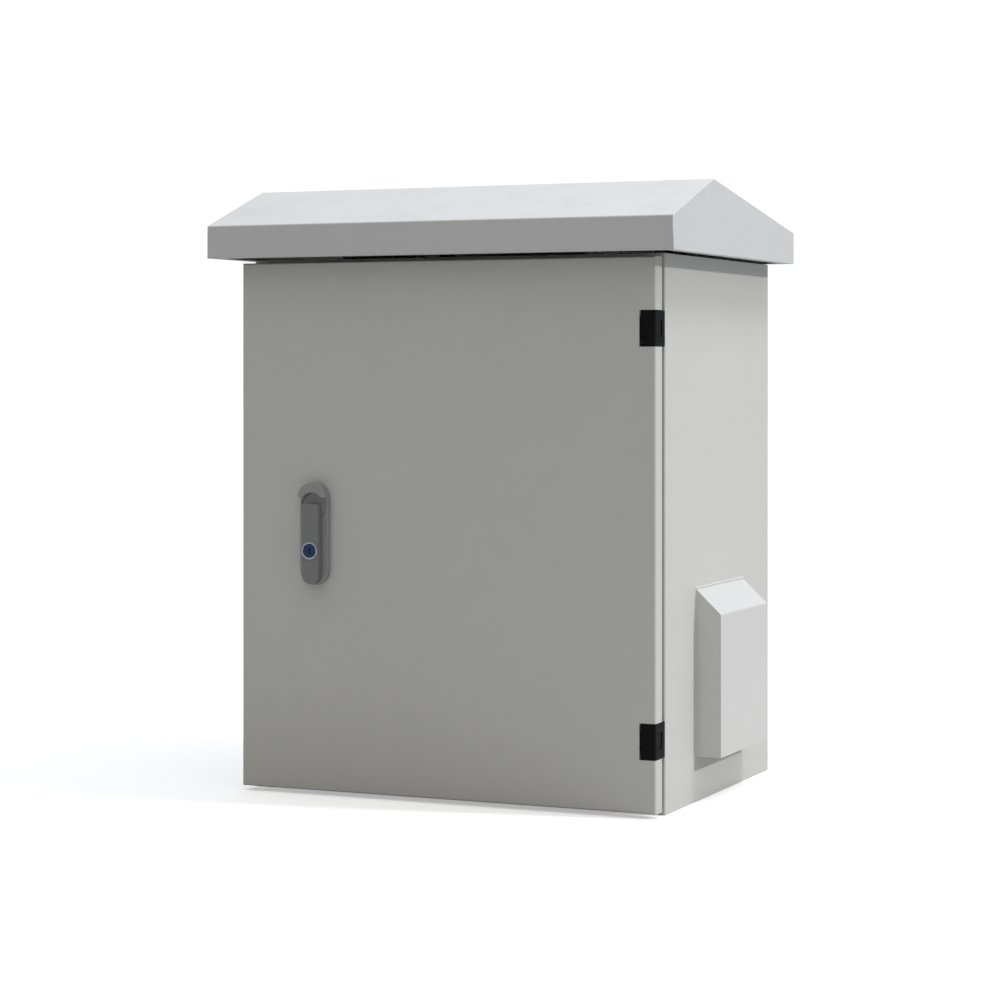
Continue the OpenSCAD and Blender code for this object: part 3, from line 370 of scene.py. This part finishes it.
FINISH = {
    "paint_body": painted("body_paint", (0.62, 0.618, 0.592)),
    "paint_roof": painted("roof_paint", (0.60, 0.605, 0.60), gloss=0.5, dust=0.2),
    "paint_door": painted("door_paint", (0.60, 0.597, 0.572)),
    "paint_hood": painted("hood_paint", (0.645, 0.642, 0.625), gloss=0.4),
    "zinc_sheet": zinc_plated("zinc_sheet", COLOUR["zinc_sheet"], grains=110.0, contrast=0.35),
    "rail_zinc": zinc_plated("rail_zinc", COLOUR["rail_zinc"], grains=150.0),
    "fasteners": zinc_plated("fastener_zinc", COLOUR["fasteners"], grains=700.0, contrast=0.12,
                             gloss=0.3),
    "bright_steel": zinc_plated("bright_steel", COLOUR["bright_steel"], grains=500.0, contrast=0.1,
                                gloss=0.24),
    "filter_plastic": moulded("filter_plastic", COLOUR["filter_plastic"], gloss=0.55),
    "filter_fleece": fleece("filter_fleece", COLOUR["filter_fleece"]),
    "fan_plastic": moulded("fan_plastic", COLOUR["fan_plastic"], gloss=0.45),
    "fan_blades": moulded("fan_blade_plastic", COLOUR["fan_blades"], grain=400.0, gloss=0.35),
    "guard_wire": zinc_plated("guard_wire", COLOUR["guard_wire"], grains=500.0, contrast=0.08,
                              gloss=0.18),
    "grommet_rubber": moulded("grommet_rubber", COLOUR["grommet_rubber"], grain=600.0, gloss=0.62,
                              flow=0.5, depth=0.00008),
    "seal_foam": foam("seal_foam", COLOUR["seal_foam"]),
    "copper_bar": bare_copper("bare_copper", COLOUR["copper_bar"]),
    "red_resin": moulded("red_resin", COLOUR["red_resin"], grain=300.0, gloss=0.3, flow=0.35),
    # The hinges' lighter edge colour is a painted highlight.
    "hinge_black": moulded("hinge_black", (0.003, 0.003, 0.0033), grain=1100.0, gloss=0.55, flow=0.4,
                           depth=0.00005, edge_highlight=(0.02, 0.02, 0.021), Specular_IOR_Level=0.15),
    # The lock plate's pale edge colour is a painted highlight.
    "lock_cast": moulded("lock_coat", COLOUR["lock_cast"], grain=1000.0, gloss=0.42, flow=0.12,
                         edge_highlight=(0.5, 0.5, 0.5)),
    # The handle's coat is a darker copy of the lock's: painted shade, so that its lit face comes out as
    # dark as the plate beside it. Its pale edge colour is a painted highlight.
    "handle_cast": moulded("handle_coat_painted_shade", (0.225, 0.225, 0.228), grain=1000.0, gloss=0.38, flow=0.12,
                           edge_highlight=(0.55, 0.55, 0.55)),
    "key_ring": zinc_plated("key_ring_plate", COLOUR["key_ring"], grains=900.0, contrast=0.06,
                            gloss=0.2),
    "key_core": moulded("key_core_blue", COLOUR["key_core"], grain=600.0, gloss=0.28, flow=0.3),
}


# ---------------------------------------------------------------- bench tools

def middle(low, high):
    """The middle of a box."""
    return (low + high) / 2


def solids_of(node):
    """The lowest and highest corners of each separate solid in a CAD node."""
    bm = bmesh.new()
    bm.from_mesh(frame["nodes"][node].data)
    bmesh.ops.remove_doubles(bm, verts=bm.verts, dist=SAME_POINT)
    found, seen = [], set()
    for first in bm.verts:
        if first in seen:
            continue
        group, todo = [], [first]
        seen.add(first)
        while todo:
            vert = todo.pop()
            group.append(vert.co.copy())
            for edge in vert.link_edges:
                other = edge.other_vert(vert)
                if other not in seen:
                    seen.add(other)
                    todo.append(other)
        found.append((Vector(map(min, *group)), Vector(map(max, *group))))
    bm.free()
    return found


def placing(at, axis=ALONG_Z):
    """A frame that stands at a point with its Z along an axis."""
    return Matrix.Translation(at) @ Vector(axis).to_track_quat("Z", "Y").to_matrix().to_4x4()


def turn(bm, outline, stand, steps=32, across=0.0, cross=0.0):
    """Turns an outline of (radius, height) pairs, in millimetres, into a round solid.

    across gives the solid six flats that far apart, and cross gives the ring of that radius
    four narrow arms, for a screwdriver."""
    half_arm, waist = 14, 0.34      # half an arm's angle, and the share of its reach between arms
    before = set(bm.verts)
    points = [bm.verts.new((r * MM, 0, z * MM)) for r, z in outline]
    line = [bm.edges.new(pair) for pair in zip(points, points[1:])]
    bmesh.ops.spin(bm, geom=points + line, cent=(0, 0, 0), axis=ALONG_Z, dvec=(0, 0, 0),
                   angle=2 * math.pi, steps=steps, use_merge=True)
    bmesh.ops.remove_doubles(bm, verts=[v for v in bm.verts if v not in before], dist=0.001 * MM)
    made = [v for v in bm.verts if v not in before]
    bmesh.ops.recalc_face_normals(bm, faces=list({face for v in made for face in v.link_faces}))
    for vert in made:
        radius = math.hypot(vert.co.x, vert.co.y)
        angle = math.degrees(math.atan2(vert.co.y, vert.co.x))
        if across and radius:
            flat = across / 2 * MM / math.cos(math.radians(angle % 60 - 30))
            vert.co.xy *= min(1.0, flat / radius)
        if cross and abs(radius - cross * MM) < 0.01 * MM:
            vert.co.xy *= 1.0 if abs((angle + 45) % 90 - 45) < half_arm else waist
    bmesh.ops.transform(bm, matrix=stand, verts=made)


def washer(bm, stand, outer, inner, thick):
    """A flat washer with its rim broken."""
    rim = 0.2
    turn(bm, [(inner, 0), (outer - rim, 0), (outer, rim), (outer, thick - rim),
              (outer - rim, thick), (inner, thick), (inner, 0)], stand)


def threads(bm, stand, radius, length, pitch):
    """A threaded shank, as close rings."""
    root = radius * 0.86
    outline = [(0, 0), (root - 0.3, 0)]
    for i in range(int(length / pitch)):
        outline += [(root, i * pitch), (radius, (i + 0.5) * pitch)]
    turn(bm, outline + [(root, length), (0, length)], stand, steps=16)


def hexagon(bm, stand, across, height):
    """A hexagon head or nut with its corners turned off and a shallow dish in its top."""
    corner = across / 2 / math.cos(math.radians(30))
    cut = 0.6 * (corner - across / 2)
    dish = height - 0.3
    turn(bm, [(0, 0), (across / 2, 0), (corner, cut), (corner, height - cut),
              (across / 2, height), (across * 0.3, height), (across * 0.26, dish), (0, dish)],
         stand, steps=48, across=across)


def pan_head(bm, stand, radius, height, cross):
    """A rounded screw head with a cross recess."""
    turn(bm, [(0, 0), (radius * 0.96, 0), (radius, height * 0.15), (radius * 0.97, height * 0.5),
              (radius * 0.85, height * 0.82), (radius * 0.62, height), (cross, height),
              (cross, height * 0.35), (0, height * 0.25)], stand, steps=48, cross=cross)


def sweep(bm, outline, stations, closed=False):
    """Carries an outline of (out, up) pairs, in millimetres, through a list of placings.

    The tube closes on itself if closed is true, and is capped at both ends if not."""
    ring = [bm.verts.new(stations[0] @ Vector((out, up, 0))) for out, up in outline]
    first = [bm.edges.new(pair) for pair in zip(ring, ring[1:] + ring[:1])]
    last, made = first, list(ring)
    for here, there in zip(stations, stations[1:]):
        grown = bmesh.ops.extrude_edge_only(bm, edges=last)["geom"]
        verts = [g for g in grown if isinstance(g, bmesh.types.BMVert)]
        last = [g for g in grown if isinstance(g, bmesh.types.BMEdge)
                and all(v in verts for v in g.verts)]
        bmesh.ops.transform(bm, matrix=there @ here.inverted(), verts=verts)
        made += verts
    if closed:
        bmesh.ops.bridge_loops(bm, edges=first + last)
    else:
        for loop in (first, last):
            bmesh.ops.edgeloop_fill(bm, edges=loop)
    bmesh.ops.recalc_face_normals(bm, faces=list({face for v in made for face in v.link_faces}))


def station(at, out, up, along, wide=1.0):
    """A placing for an outline in millimetres, whose sides run along out and up.

    wide stretches the outline along out, for a mitred corner."""
    stand = Matrix((Vector(out) * MM * wide, Vector(up) * MM, Vector(along) * MM)).transposed()
    return Matrix.Translation(at) @ stand.to_4x4()


def ease_edges(bm, width, segments, shortest=0.0):
    """Rounds the outer edges of a mesh and keeps its other creases crisp.

    An edge stays crisp where the face beside it is narrower than the rounding."""
    corner, crease = math.radians(40), math.radians(18)
    bm.normal_update()
    outer = [edge for edge in bm.edges if edge.is_convex and edge.calc_length() > shortest * MM
             and edge.calc_face_angle(0) > corner
             and min(face.calc_area() for face in edge.link_faces) > edge.calc_length() * width * MM]
    rounded = bmesh.ops.bevel(bm, geom=outer, offset=width * MM, offset_type="OFFSET",
                              segments=segments, profile=0.5, affect="EDGES",
                              clamp_overlap=False, material=-1)
    strips = set(rounded["faces"])
    for edge in bm.edges:
        edge.smooth = (bool(strips.intersection(edge.link_faces))
                       or edge.calc_face_angle(0) < crease)
    bmesh.ops.connect_verts_concave(bm, faces=bm.faces)


def finish_piece(name, bm, finish, body, replaces=(), smooth=35):
    """Makes a finished bmesh a piece of the object, with its paint or plating.

    Creases sharper than smooth, in degrees, stay sharp, or those that are marked if it is None."""
    mesh = bpy.data.meshes.new(name)
    bm.to_mesh(mesh)
    bm.free()
    if "custom_normal" in mesh.attributes:      # a CAD mesh's own normals don't fit an eased copy
        mesh.attributes.remove(mesh.attributes["custom_normal"])
    mesh.materials.clear()
    mesh.materials.append(FINISH[finish])
    mesh.shade_smooth()
    if smooth:
        mesh.set_sharp_from_angle(angle=math.radians(smooth))
    piece = bpy.data.objects.new(name, mesh)
    bpy.context.scene.collection.objects.link(piece)
    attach(piece, body)
    if replaces:
        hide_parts(*replaces)
    return piece


def eased_copy(node, width, shortest=0.0, slack=0.0):
    """Replaces a CAD piece by a copy with its flat faces joined up and its outer edges eased.

    shortest leaves shorter edges sharp. slack draws the two sides in by a hair, for a piece that
    comes to rest flat against another."""
    source = frame["nodes"][node]
    bm = bmesh.new()
    bm.from_mesh(source.data)
    bmesh.ops.remove_doubles(bm, verts=bm.verts, dist=SAME_POINT)
    bmesh.ops.dissolve_limit(bm, angle_limit=math.radians(0.4), verts=bm.verts, edges=bm.edges)
    ease_edges(bm, width, 3 if width > 0.4 else 2, shortest)
    if slack:
        low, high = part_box(node)
        bmesh.ops.scale(bm, vec=(1 - 2 * slack * MM / (high.x - low.x), 1, 1), verts=bm.verts,
                        space=Matrix.Translation(-middle(low, high)))
    piece = finish_piece(node + "_eased", bm, source.data.materials[0].name, source["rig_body"],
                         replaces=[node], smooth=None)
    flat = piece.modifiers.new("flat_faces", "WEIGHTED_NORMAL")
    flat.keep_sharp = True
    flat.weight = 100


# ---------------------------------------------------------------- sheet metal and castings

# How far the outer edges of each piece are rounded, in millimetres.
EASED = {
    "shell": 0.3, "top_plate": 0.2, "bottom_plate": 0.15, "roof_cap": 0.5, "vent_hood": 0.3,
    "door_panel": 0.2, "door_stiffener": 0.2, "roof_bracket_left": 0.3, "roof_bracket_right": 0.3,
    "anchor_plates": 0.4,
    "rack_rail_front_left": 0.3, "rack_rail_front_right": 0.3,
    "rack_rail_rear_left": 0.3, "rack_rail_rear_right": 0.3,
    "rail_strut_lower_left": 0.3, "rail_strut_lower_right": 0.3,
    "rail_strut_upper_left": 0.3, "rail_strut_upper_right": 0.3,
    "gland_plate": 0.3, "filter_frame": 0.3, "earth_bar": 0.5,
    "hinge_frame_leaf_upper": 0.7, "hinge_frame_leaf_lower": 0.7,
    "hinge_door_leaf_upper": 0.5, "hinge_door_leaf_lower": 0.5,
    "hinge_pin_upper": 0.4, "hinge_pin_lower": 0.4,
    "lock_plate": 0.7, "lock_nut": 0.6, "gear_case": 0.5,
    "rod_guide_upper": 0.3, "rod_guide_lower": 0.3,
    "lock_spindle": 0.4, "handle_pin": 0.2, "lock_handle": 0.7,
    "key_cylinder": 0.3, "key_plug": 0.15,
    "upper_rod": 0.2, "lower_rod": 0.2,
}
# Pieces of which only the edges longer than 20 mm are rounded.
LONG_EDGES_ONLY = ("roof_cap", "bottom_plate")


def dress_sheet_and_castings():
    """Eases the pieces whose shape the frame already has, and gives every CAD piece its finish."""
    for node, width in EASED.items():
        eased_copy(node, width, shortest=20 if node in LONG_EDGES_ONLY else 0,
                   slack=0.03 if node == "lock_handle" else 0)
    for plain in frame["nodes"].values():
        plain.material_slots[0].material = FINISH[plain.data.materials[0].name]


dress_sheet_and_castings()


# ---------------------------------------------------------------- fasteners

def fit_roof_bolts():
    """Flanged hexagon bolts through the roof brackets' feet, with nuts under the top plate."""
    flange, head = 1.1, 2.9
    bm = bmesh.new()
    for low, high in solids_of("roof_bolts"):
        x, y, _ = middle(low, high)
        seat = high.z - (flange + head) * MM
        washer(bm, placing((x, y, seat)), outer=5.7, inner=3.0, thick=flange)
        hexagon(bm, placing((x, y, seat + flange * MM)), across=9.0, height=head)
        threads(bm, placing((x, y, low.z)), radius=3.0, length=(seat - low.z) / MM, pitch=1.0)
        hexagon(bm, placing((x, y, low.z + 3 * MM)), across=9.9, height=5.0)
    finish_piece("roof_bolts_and_nuts", bm, "fasteners", "cabinet", ["roof_bolts"])


def fit_fan_screws():
    """Cross-recessed screws that hold the guard, the fan and the filter frame together."""
    head = 2.4
    bm = bmesh.new()
    for low, high in solids_of("fan_screws"):
        _, y, z = middle(low, high)
        seat = low.x + head * MM
        pan_head(bm, placing((seat, y, z), (-1, 0, 0)), radius=3.8, height=head, cross=2.1)
        threads(bm, placing((seat, y, z), ALONG_X), radius=1.9, length=(high.x - seat) / MM, pitch=0.8)
    finish_piece("fan_screws_cross_head", bm, "fasteners", "cabinet", ["fan_screws"])


def fit_gland_plate_screws():
    """Cross-recessed screws round the gland plate."""
    head = 2.6
    bm = bmesh.new()
    for low, high in solids_of("gland_plate_screws"):
        x, y, _ = middle(low, high)
        seat = high.z - head * MM
        pan_head(bm, placing((x, y, seat)), radius=4.2, height=head, cross=2.3)
        threads(bm, placing((x, y, low.z)), radius=2.0, length=(seat - low.z) / MM, pitch=0.7)
    finish_piece("gland_plate_screws_cross_head", bm, "fasteners", "cabinet",
                 ["gland_plate_screws"])


def fit_earth_screws():
    """Hexagon screws that hold the earth bar on its insulators."""
    thick, head = 0.9, 2.7
    bm = bmesh.new()
    for low, high in solids_of("earth_screws"):
        _, y, z = middle(low, high)
        seat = high.x - (thick + head) * MM
        washer(bm, placing((seat, y, z), ALONG_X), outer=5.5, inner=3.0, thick=thick)
        hexagon(bm, placing((seat + thick * MM, y, z), ALONG_X), across=8.6, height=head)
        threads(bm, placing((low.x, y, z), ALONG_X), radius=2.8, length=(seat - low.x) / MM, pitch=0.8)
    finish_piece("earth_screws_hexagon", bm, "fasteners", "cabinet", ["earth_screws"])


def fit_hinge_nuts():
    """Studs inside the door with the nuts that hold the hinge wings."""
    bm = bmesh.new()
    for low, high in solids_of("hinge_nuts"):
        x, _, z = middle(low, high)
        threads(bm, placing((x, low.y, z), ALONG_Y), radius=2.45, length=(high.y - low.y) / MM,
                pitch=0.8)
        hexagon(bm, placing((x, low.y + 2.5 * MM, z), ALONG_Y), across=7.9, height=4.0)
    finish_piece("hinge_studs_and_nuts", bm, "fasteners", "door", ["hinge_nuts"])


fit_roof_bolts()
fit_fan_screws()
fit_gland_plate_screws()
fit_earth_screws()
fit_hinge_nuts()


# ---------------------------------------------------------------- rubber, resin and foam

def mould_grommets():
    """Rubber cable grommets with a grip groove for the plate and soft ribs up the collar."""
    outline = [(20, 0.6), (20.6, 0), (28.2, 0), (29, 0.5), (29, 1.4), (24.1, 1.5), (24.1, 3.5),
               (29, 3.6), (29, 5.3), (28.2, 6), (26.4, 6.9), (25.4, 7.0), (24.4, 7.6), (24.6, 8.6),
               (23.7, 9.1), (23.9, 10.1), (23.1, 10.6), (23.4, 11.6), (22.7, 12.1), (23.0, 13.1),
               (22.4, 13.6), (22.5, 16.9), (21.9, 17.5), (20.5, 17.5), (20, 17), (20, 0.6)]
    for side in ("left", "right"):
        node = "cable_grommet_" + side
        low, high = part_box(node)
        x, y, _ = middle(low, high)
        bm = bmesh.new()
        turn(bm, outline, placing((x, y, low.z)), steps=64)
        finish_piece(node + "_ribbed", bm, "grommet_rubber", "cabinet", [node])


def mould_earth_insulators():
    """Ribbed resin stand-offs under the earth bar, alike at both ends."""
    tall = 22
    half = [(0, 0), (7.4, 0), (8, 0.6), (8, 2.4), (6.5, 3.5), (6.5, 5.1), (8, 6.2), (8, 8), (6.5, 9.1)]
    outline = half + [(radius, tall - height) for radius, height in reversed(half)]
    bm = bmesh.new()
    for low, high in solids_of("earth_insulators"):
        _, y, z = middle(low, high)
        turn(bm, outline, placing((low.x, y, z), ALONG_X), steps=40)
    finish_piece("earth_insulators_ribbed", bm, "red_resin", "cabinet", ["earth_insulators"])


def pour_door_seal():
    """A foamed strip round the inside of the door, dented by the cabinet's lip."""
    low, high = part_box("door_seal")
    foot, back = 6.0, 5.9               # half the width of the strip where it sticks, and above
    dent, dent_reach = 1.6, 1.5         # how deep the lip presses, and how far to each side
    corner = 8.5 * MM
    right, bottom, top = high.x - foot * MM, low.z + foot * MM, high.z - foot * MM
    depth = (high.y - low.y) / MM
    outline = [(foot, 0.0)]
    for degrees in range(0, 181, 12):
        out, rise = back * math.cos(math.radians(degrees)), math.sin(math.radians(degrees))
        up = depth * rise ** 0.55 + 0.7 * rise - dent * math.exp(-(out / dent_reach) ** 2)
        outline.append((out, max(up, 0.6)))
    outline.append((-foot, 0.0))
    stations = []
    for x, z, first in ((right, bottom, -90), (right, top, 0), (-right, top, 90),
                        (-right, bottom, 180)):
        centre = Vector((x - math.copysign(corner, x), low.y,
                         z + (corner if z == bottom else -corner)))
        for degrees in range(first, first + 91, 15):
            angle = math.radians(degrees)
            out = Vector((math.cos(angle), 0, math.sin(angle)))
            along = Vector((-math.sin(angle), 0, math.cos(angle)))
            stations.append(station(centre + out * corner, out, ALONG_Y, along))
    bm = bmesh.new()
    sweep(bm, outline, stations, closed=True)
    finish_piece("door_seal_foamed", bm, "seal_foam", "door", ["door_seal"], smooth=60)


def cut_filter_mat():
    """A block of loose fleece, held in its frame, with coarse and fine tufts to the metre."""
    low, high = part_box("filter_mat")
    centre = middle(low, high)
    coarse, fine, deepest = 160, 420, 1.4
    bm = bmesh.new()
    bmesh.ops.create_cube(bm, size=1)
    bmesh.ops.scale(bm, vec=high - low, verts=bm.verts)
    bmesh.ops.translate(bm, vec=centre, verts=bm.verts)
    bmesh.ops.subdivide_edges(bm, edges=bm.edges, cuts=30, use_grid_fill=True)
    for vert in bm.verts:
        tuft = abs(noise.noise(vert.co * coarse)) + 0.5 * abs(noise.noise(vert.co * fine))
        vert.co += (centre - vert.co).normalized() * tuft * deepest * MM
    finish_piece("filter_mat_fleece", bm, "filter_fleece", "cabinet", ["filter_mat"], smooth=80)


mould_grommets()
mould_earth_insulators()
pour_door_seal()
cut_filter_mat()


# ---------------------------------------------------------------- fan

def mould_fan_rotor():
    """A hub cup with seven twisted blades that start just inside its rim.

    On a blade, span goes from the root to the tip and chord from its front edge to its back one."""
    low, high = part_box("fan_rotor")
    _, y, z = middle(low, high)
    deep = (high.x - low.x) / MM
    reach = (high.z - low.z) / 2 / MM
    hub, bore, boss, blades, thick = 19.0, 2.1, 4.5, 7, 1.1
    inside = hub - 1.6
    stand = placing((low.x, y, z), ALONG_X)
    bm = bmesh.new()
    turn(bm, [(bore, 0), (hub - 2.5, 0), (hub - 1.2, 0.5), (hub, 1.8), (hub, deep), (inside, deep),
              (inside, 3), (boss, 3), (boss, deep - 1), (bore, deep - 1), (bore, 0)], stand, steps=64)
    for blade in range(blades):
        made = bmesh.ops.create_grid(bm, x_segments=12, y_segments=10, size=0.5)["verts"]
        for vert in made:
            span, chord = vert.co.x + 0.5, vert.co.y + 0.5
            radius = hub - 0.4 + (reach - hub + 0.2) * span
            twist = 0.62 * chord + 0.07 * math.sin(math.pi * chord) + 0.22 * span * span
            angle = twist + blade * 2 * math.pi / blades
            swept = 1.0 - 0.16 * span * (1 - chord)
            vert.co = Vector((radius * math.cos(angle), radius * math.sin(angle),
                              1.2 + (deep - 3.4) * chord * swept)) * MM
        faces = list({face for vert in made for face in vert.link_faces})
        grown = bmesh.ops.solidify(bm, geom=faces, thickness=thick * MM)["geom"]
        verts = {v for face in faces for v in face.verts}
        verts |= {g for g in grown if isinstance(g, bmesh.types.BMVert)}
        bmesh.ops.recalc_face_normals(bm, faces=list({f for v in verts for f in v.link_faces}))
        bmesh.ops.transform(bm, matrix=stand, verts=list(verts))
    finish_piece("fan_rotor_bladed", bm, "fan_blades", "fan", ["fan_rotor"])


mould_fan_rotor()


# ---------------------------------------------------------------- welds and sealant

def spot_weld(bm, at, axis):
    """The ring and dimple that a welding tip leaves in sheet."""
    turn(bm, [(0, 0.02), (1.7, 0.05), (2.4, 0.22), (3.1, 0.26), (3.6, -0.05), (0, -0.05)],
         placing(at, axis), steps=20)


def spread(low, high, pitch):
    """Evenly spaced places between two ends, about a pitch apart and half of that from the ends."""
    count = max(1, round((high - low) / pitch))
    return [low + (i + 0.5) * (high - low) / count for i in range(count)]


def weld_stiffener():
    """Spot welds down both flanges of the door's stiffener."""
    low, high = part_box("door_stiffener")
    inset, sheet, pitch = 7 * MM, 1.2 * MM, 70 * MM
    bm = bmesh.new()
    for x in (low.x + inset, high.x - inset):
        for z in spread(low.z, high.z, pitch):
            spot_weld(bm, (x, low.y + sheet, z), ALONG_Y)
    finish_piece("stiffener_spot_welds", bm, "paint_door", "door")


def weld_rail_struts():
    """Spot welds that hold the rack's struts to the side panels."""
    inset, sheet, pitch = 12 * MM, 2 * MM, 75 * MM
    bm = bmesh.new()
    for side, inward in (("left", 1), ("right", -1)):
        for level in ("lower", "upper"):
            low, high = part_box(f"rail_strut_{level}_{side}")
            x = (low.x if inward > 0 else high.x) + inward * sheet
            z = low.z + inset if level == "lower" else high.z - inset
            for y in spread(low.y, high.y, pitch):
                spot_weld(bm, (x, y, z), (inward, 0, 0))
    finish_piece("strut_spot_welds", bm, "zinc_sheet", "cabinet")


def seal_hood():
    """A bead of sealant, painted over, where the vent hood meets the side panel."""
    low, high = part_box("vent_hood")
    radius, sunk = 1.6, 0.4
    outline = [(-sunk, -0.1)]
    for degrees in range(90, -1, -15):
        outline.append((radius - radius * math.sin(math.radians(degrees)),
                        radius - radius * math.cos(math.radians(degrees))))
    outline.append((-sunk, radius))
    x = low.x
    mitre = math.sqrt(2)
    front, rear = Vector((0, -1, 1)).normalized(), Vector((0, 1, 1)).normalized()
    stations = [station((x, low.y, low.z), (0, -1, 0), ALONG_X, (0, 0, 1)),
                station((x, low.y, high.z), front, ALONG_X, (0, 1, 1), mitre),
                station((x, high.y, high.z), rear, ALONG_X, (0, 1, -1), mitre),
                station((x, high.y, low.z), (0, 1, 0), ALONG_X, (0, 0, -1))]
    bm = bmesh.new()
    sweep(bm, outline, stations)
    finish_piece("hood_sealant", bm, "paint_hood", "cabinet", smooth=50)


weld_stiffener()
weld_rail_struts()
seal_hood()


# ---------------------------------------------------------------- studio

def soft_box(name, at, aim, size, watts, colour):
    """A square lamp that faces a point."""
    lamp = bpy.data.lights.new(name, "AREA")
    lamp.shape = "SQUARE"
    lamp.size = size
    lamp.energy = watts
    lamp.color = colour
    holder = bpy.data.objects.new(name, lamp)
    holder.location = at
    holder.rotation_euler = (Vector(aim) - Vector(at)).to_track_quat("-Z", "Y").to_euler()
    bpy.context.scene.collection.objects.link(holder)


def tent_side(tree, toward, centre, edge, colour):
    """One bright side of the tent, which fades from its centre to an edge."""
    facing = add(tree, "VectorMath", operation="DOT_PRODUCT")
    feed(tree, facing.inputs[0], toward)
    feed(tree, facing.inputs[1], centre)
    near = ramp(tree, facing.outputs["Value"], edge, 1.0)
    return tint(tree, near, (0, 0, 0, 1), (*colour, 1))


def light_studio():
    """A low key and a high lamp on the right, in a pale tent that is brightest overhead.

    The camera sees the tent as plain white."""
    key = bpy.data.lights.new("key", "SUN")
    key.energy = 1.22
    key.angle = math.radians(3)
    key.color = (1.0, 0.99, 0.97)
    holder = bpy.data.objects.new("key", key)
    holder.rotation_euler = Vector((0.80, 0.16, 0.43)).to_track_quat("Z", "Y").to_euler()
    bpy.context.scene.collection.objects.link(holder)
    soft_box("high_box", at=(1.5, 0.3, 3.5), aim=(0.3, 0, 0.7), size=0.8, watts=50,
             colour=(0.92, 0.96, 1.0))

    world = bpy.data.worlds.new("studio_tent")
    bpy.context.scene.world = world
    world.use_nodes = True
    tree = world.node_tree
    toward = add(tree, "TexCoord").outputs["Generated"]
    overhead = tent_side(tree, toward, (0, 0, 1), 0.0, (1.03, 1.02, 1.005))
    behind = tent_side(tree, toward, (0, 0.8, 0.6), 0.2, (0.13, 0.17, 0.27))
    both = tint(tree, 1.0, overhead, behind, "ADD")
    shown = add(tree, "LightPath").outputs["Is Camera Ray"]
    feed(tree, tree.nodes["Background"].inputs["Color"],
         tint(tree, shown, both, (1.05, 1.05, 1.05, 1)))


def lay_floor():
    """A wide pale floor that shows white to the camera and throws little light back up."""
    bm = bmesh.new()
    bmesh.ops.create_grid(bm, x_segments=2, y_segments=2, size=30)
    bmesh.ops.translate(bm, verts=bm.verts, vec=(0, 0, -0.3 * MM))
    mesh = bpy.data.meshes.new("floor")
    bm.to_mesh(mesh)
    bm.free()
    material, tree, sockets = new_finish("pale_floor", Roughness=0.9)
    shown = add(tree, "LightPath").outputs["Is Camera Ray"]
    feed(tree, sockets["Base Color"], tint(tree, shown, (0.5, 0.5, 0.49, 1), (0.8, 0.8, 0.8, 1)))
    feed(tree, sockets["Emission Color"], tint(tree, shown, (0, 0, 0, 1), (1, 1, 1, 1)))
    sockets["Emission Strength"].default_value = 0.42
    mesh.materials.append(material)
    floor = bpy.data.objects.new("floor", mesh)
    bpy.context.scene.collection.objects.link(floor)


def set_camera():
    """A level camera in front and to the right, a little over three metres from the door."""
    bearing = math.radians(23.8)
    away, across, height = 3.438, 0.0836, 0.5718
    lens = bpy.data.cameras.new("camera")
    lens.lens = 94.9
    lens.shift_y = -0.130
    camera = bpy.data.objects.new("camera", lens)
    camera.location = (across + away * math.sin(bearing),
                       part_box("door_panel")[0].y - away * math.cos(bearing), height)
    camera.rotation_euler = (math.pi / 2, 0, bearing)
    bpy.context.scene.collection.objects.link(camera)
    bpy.context.scene.camera = camera


light_studio()
lay_floor()
set_camera()
bpy.context.scene.view_settings.view_transform = "Standard"

bpy.context.view_layer.update()
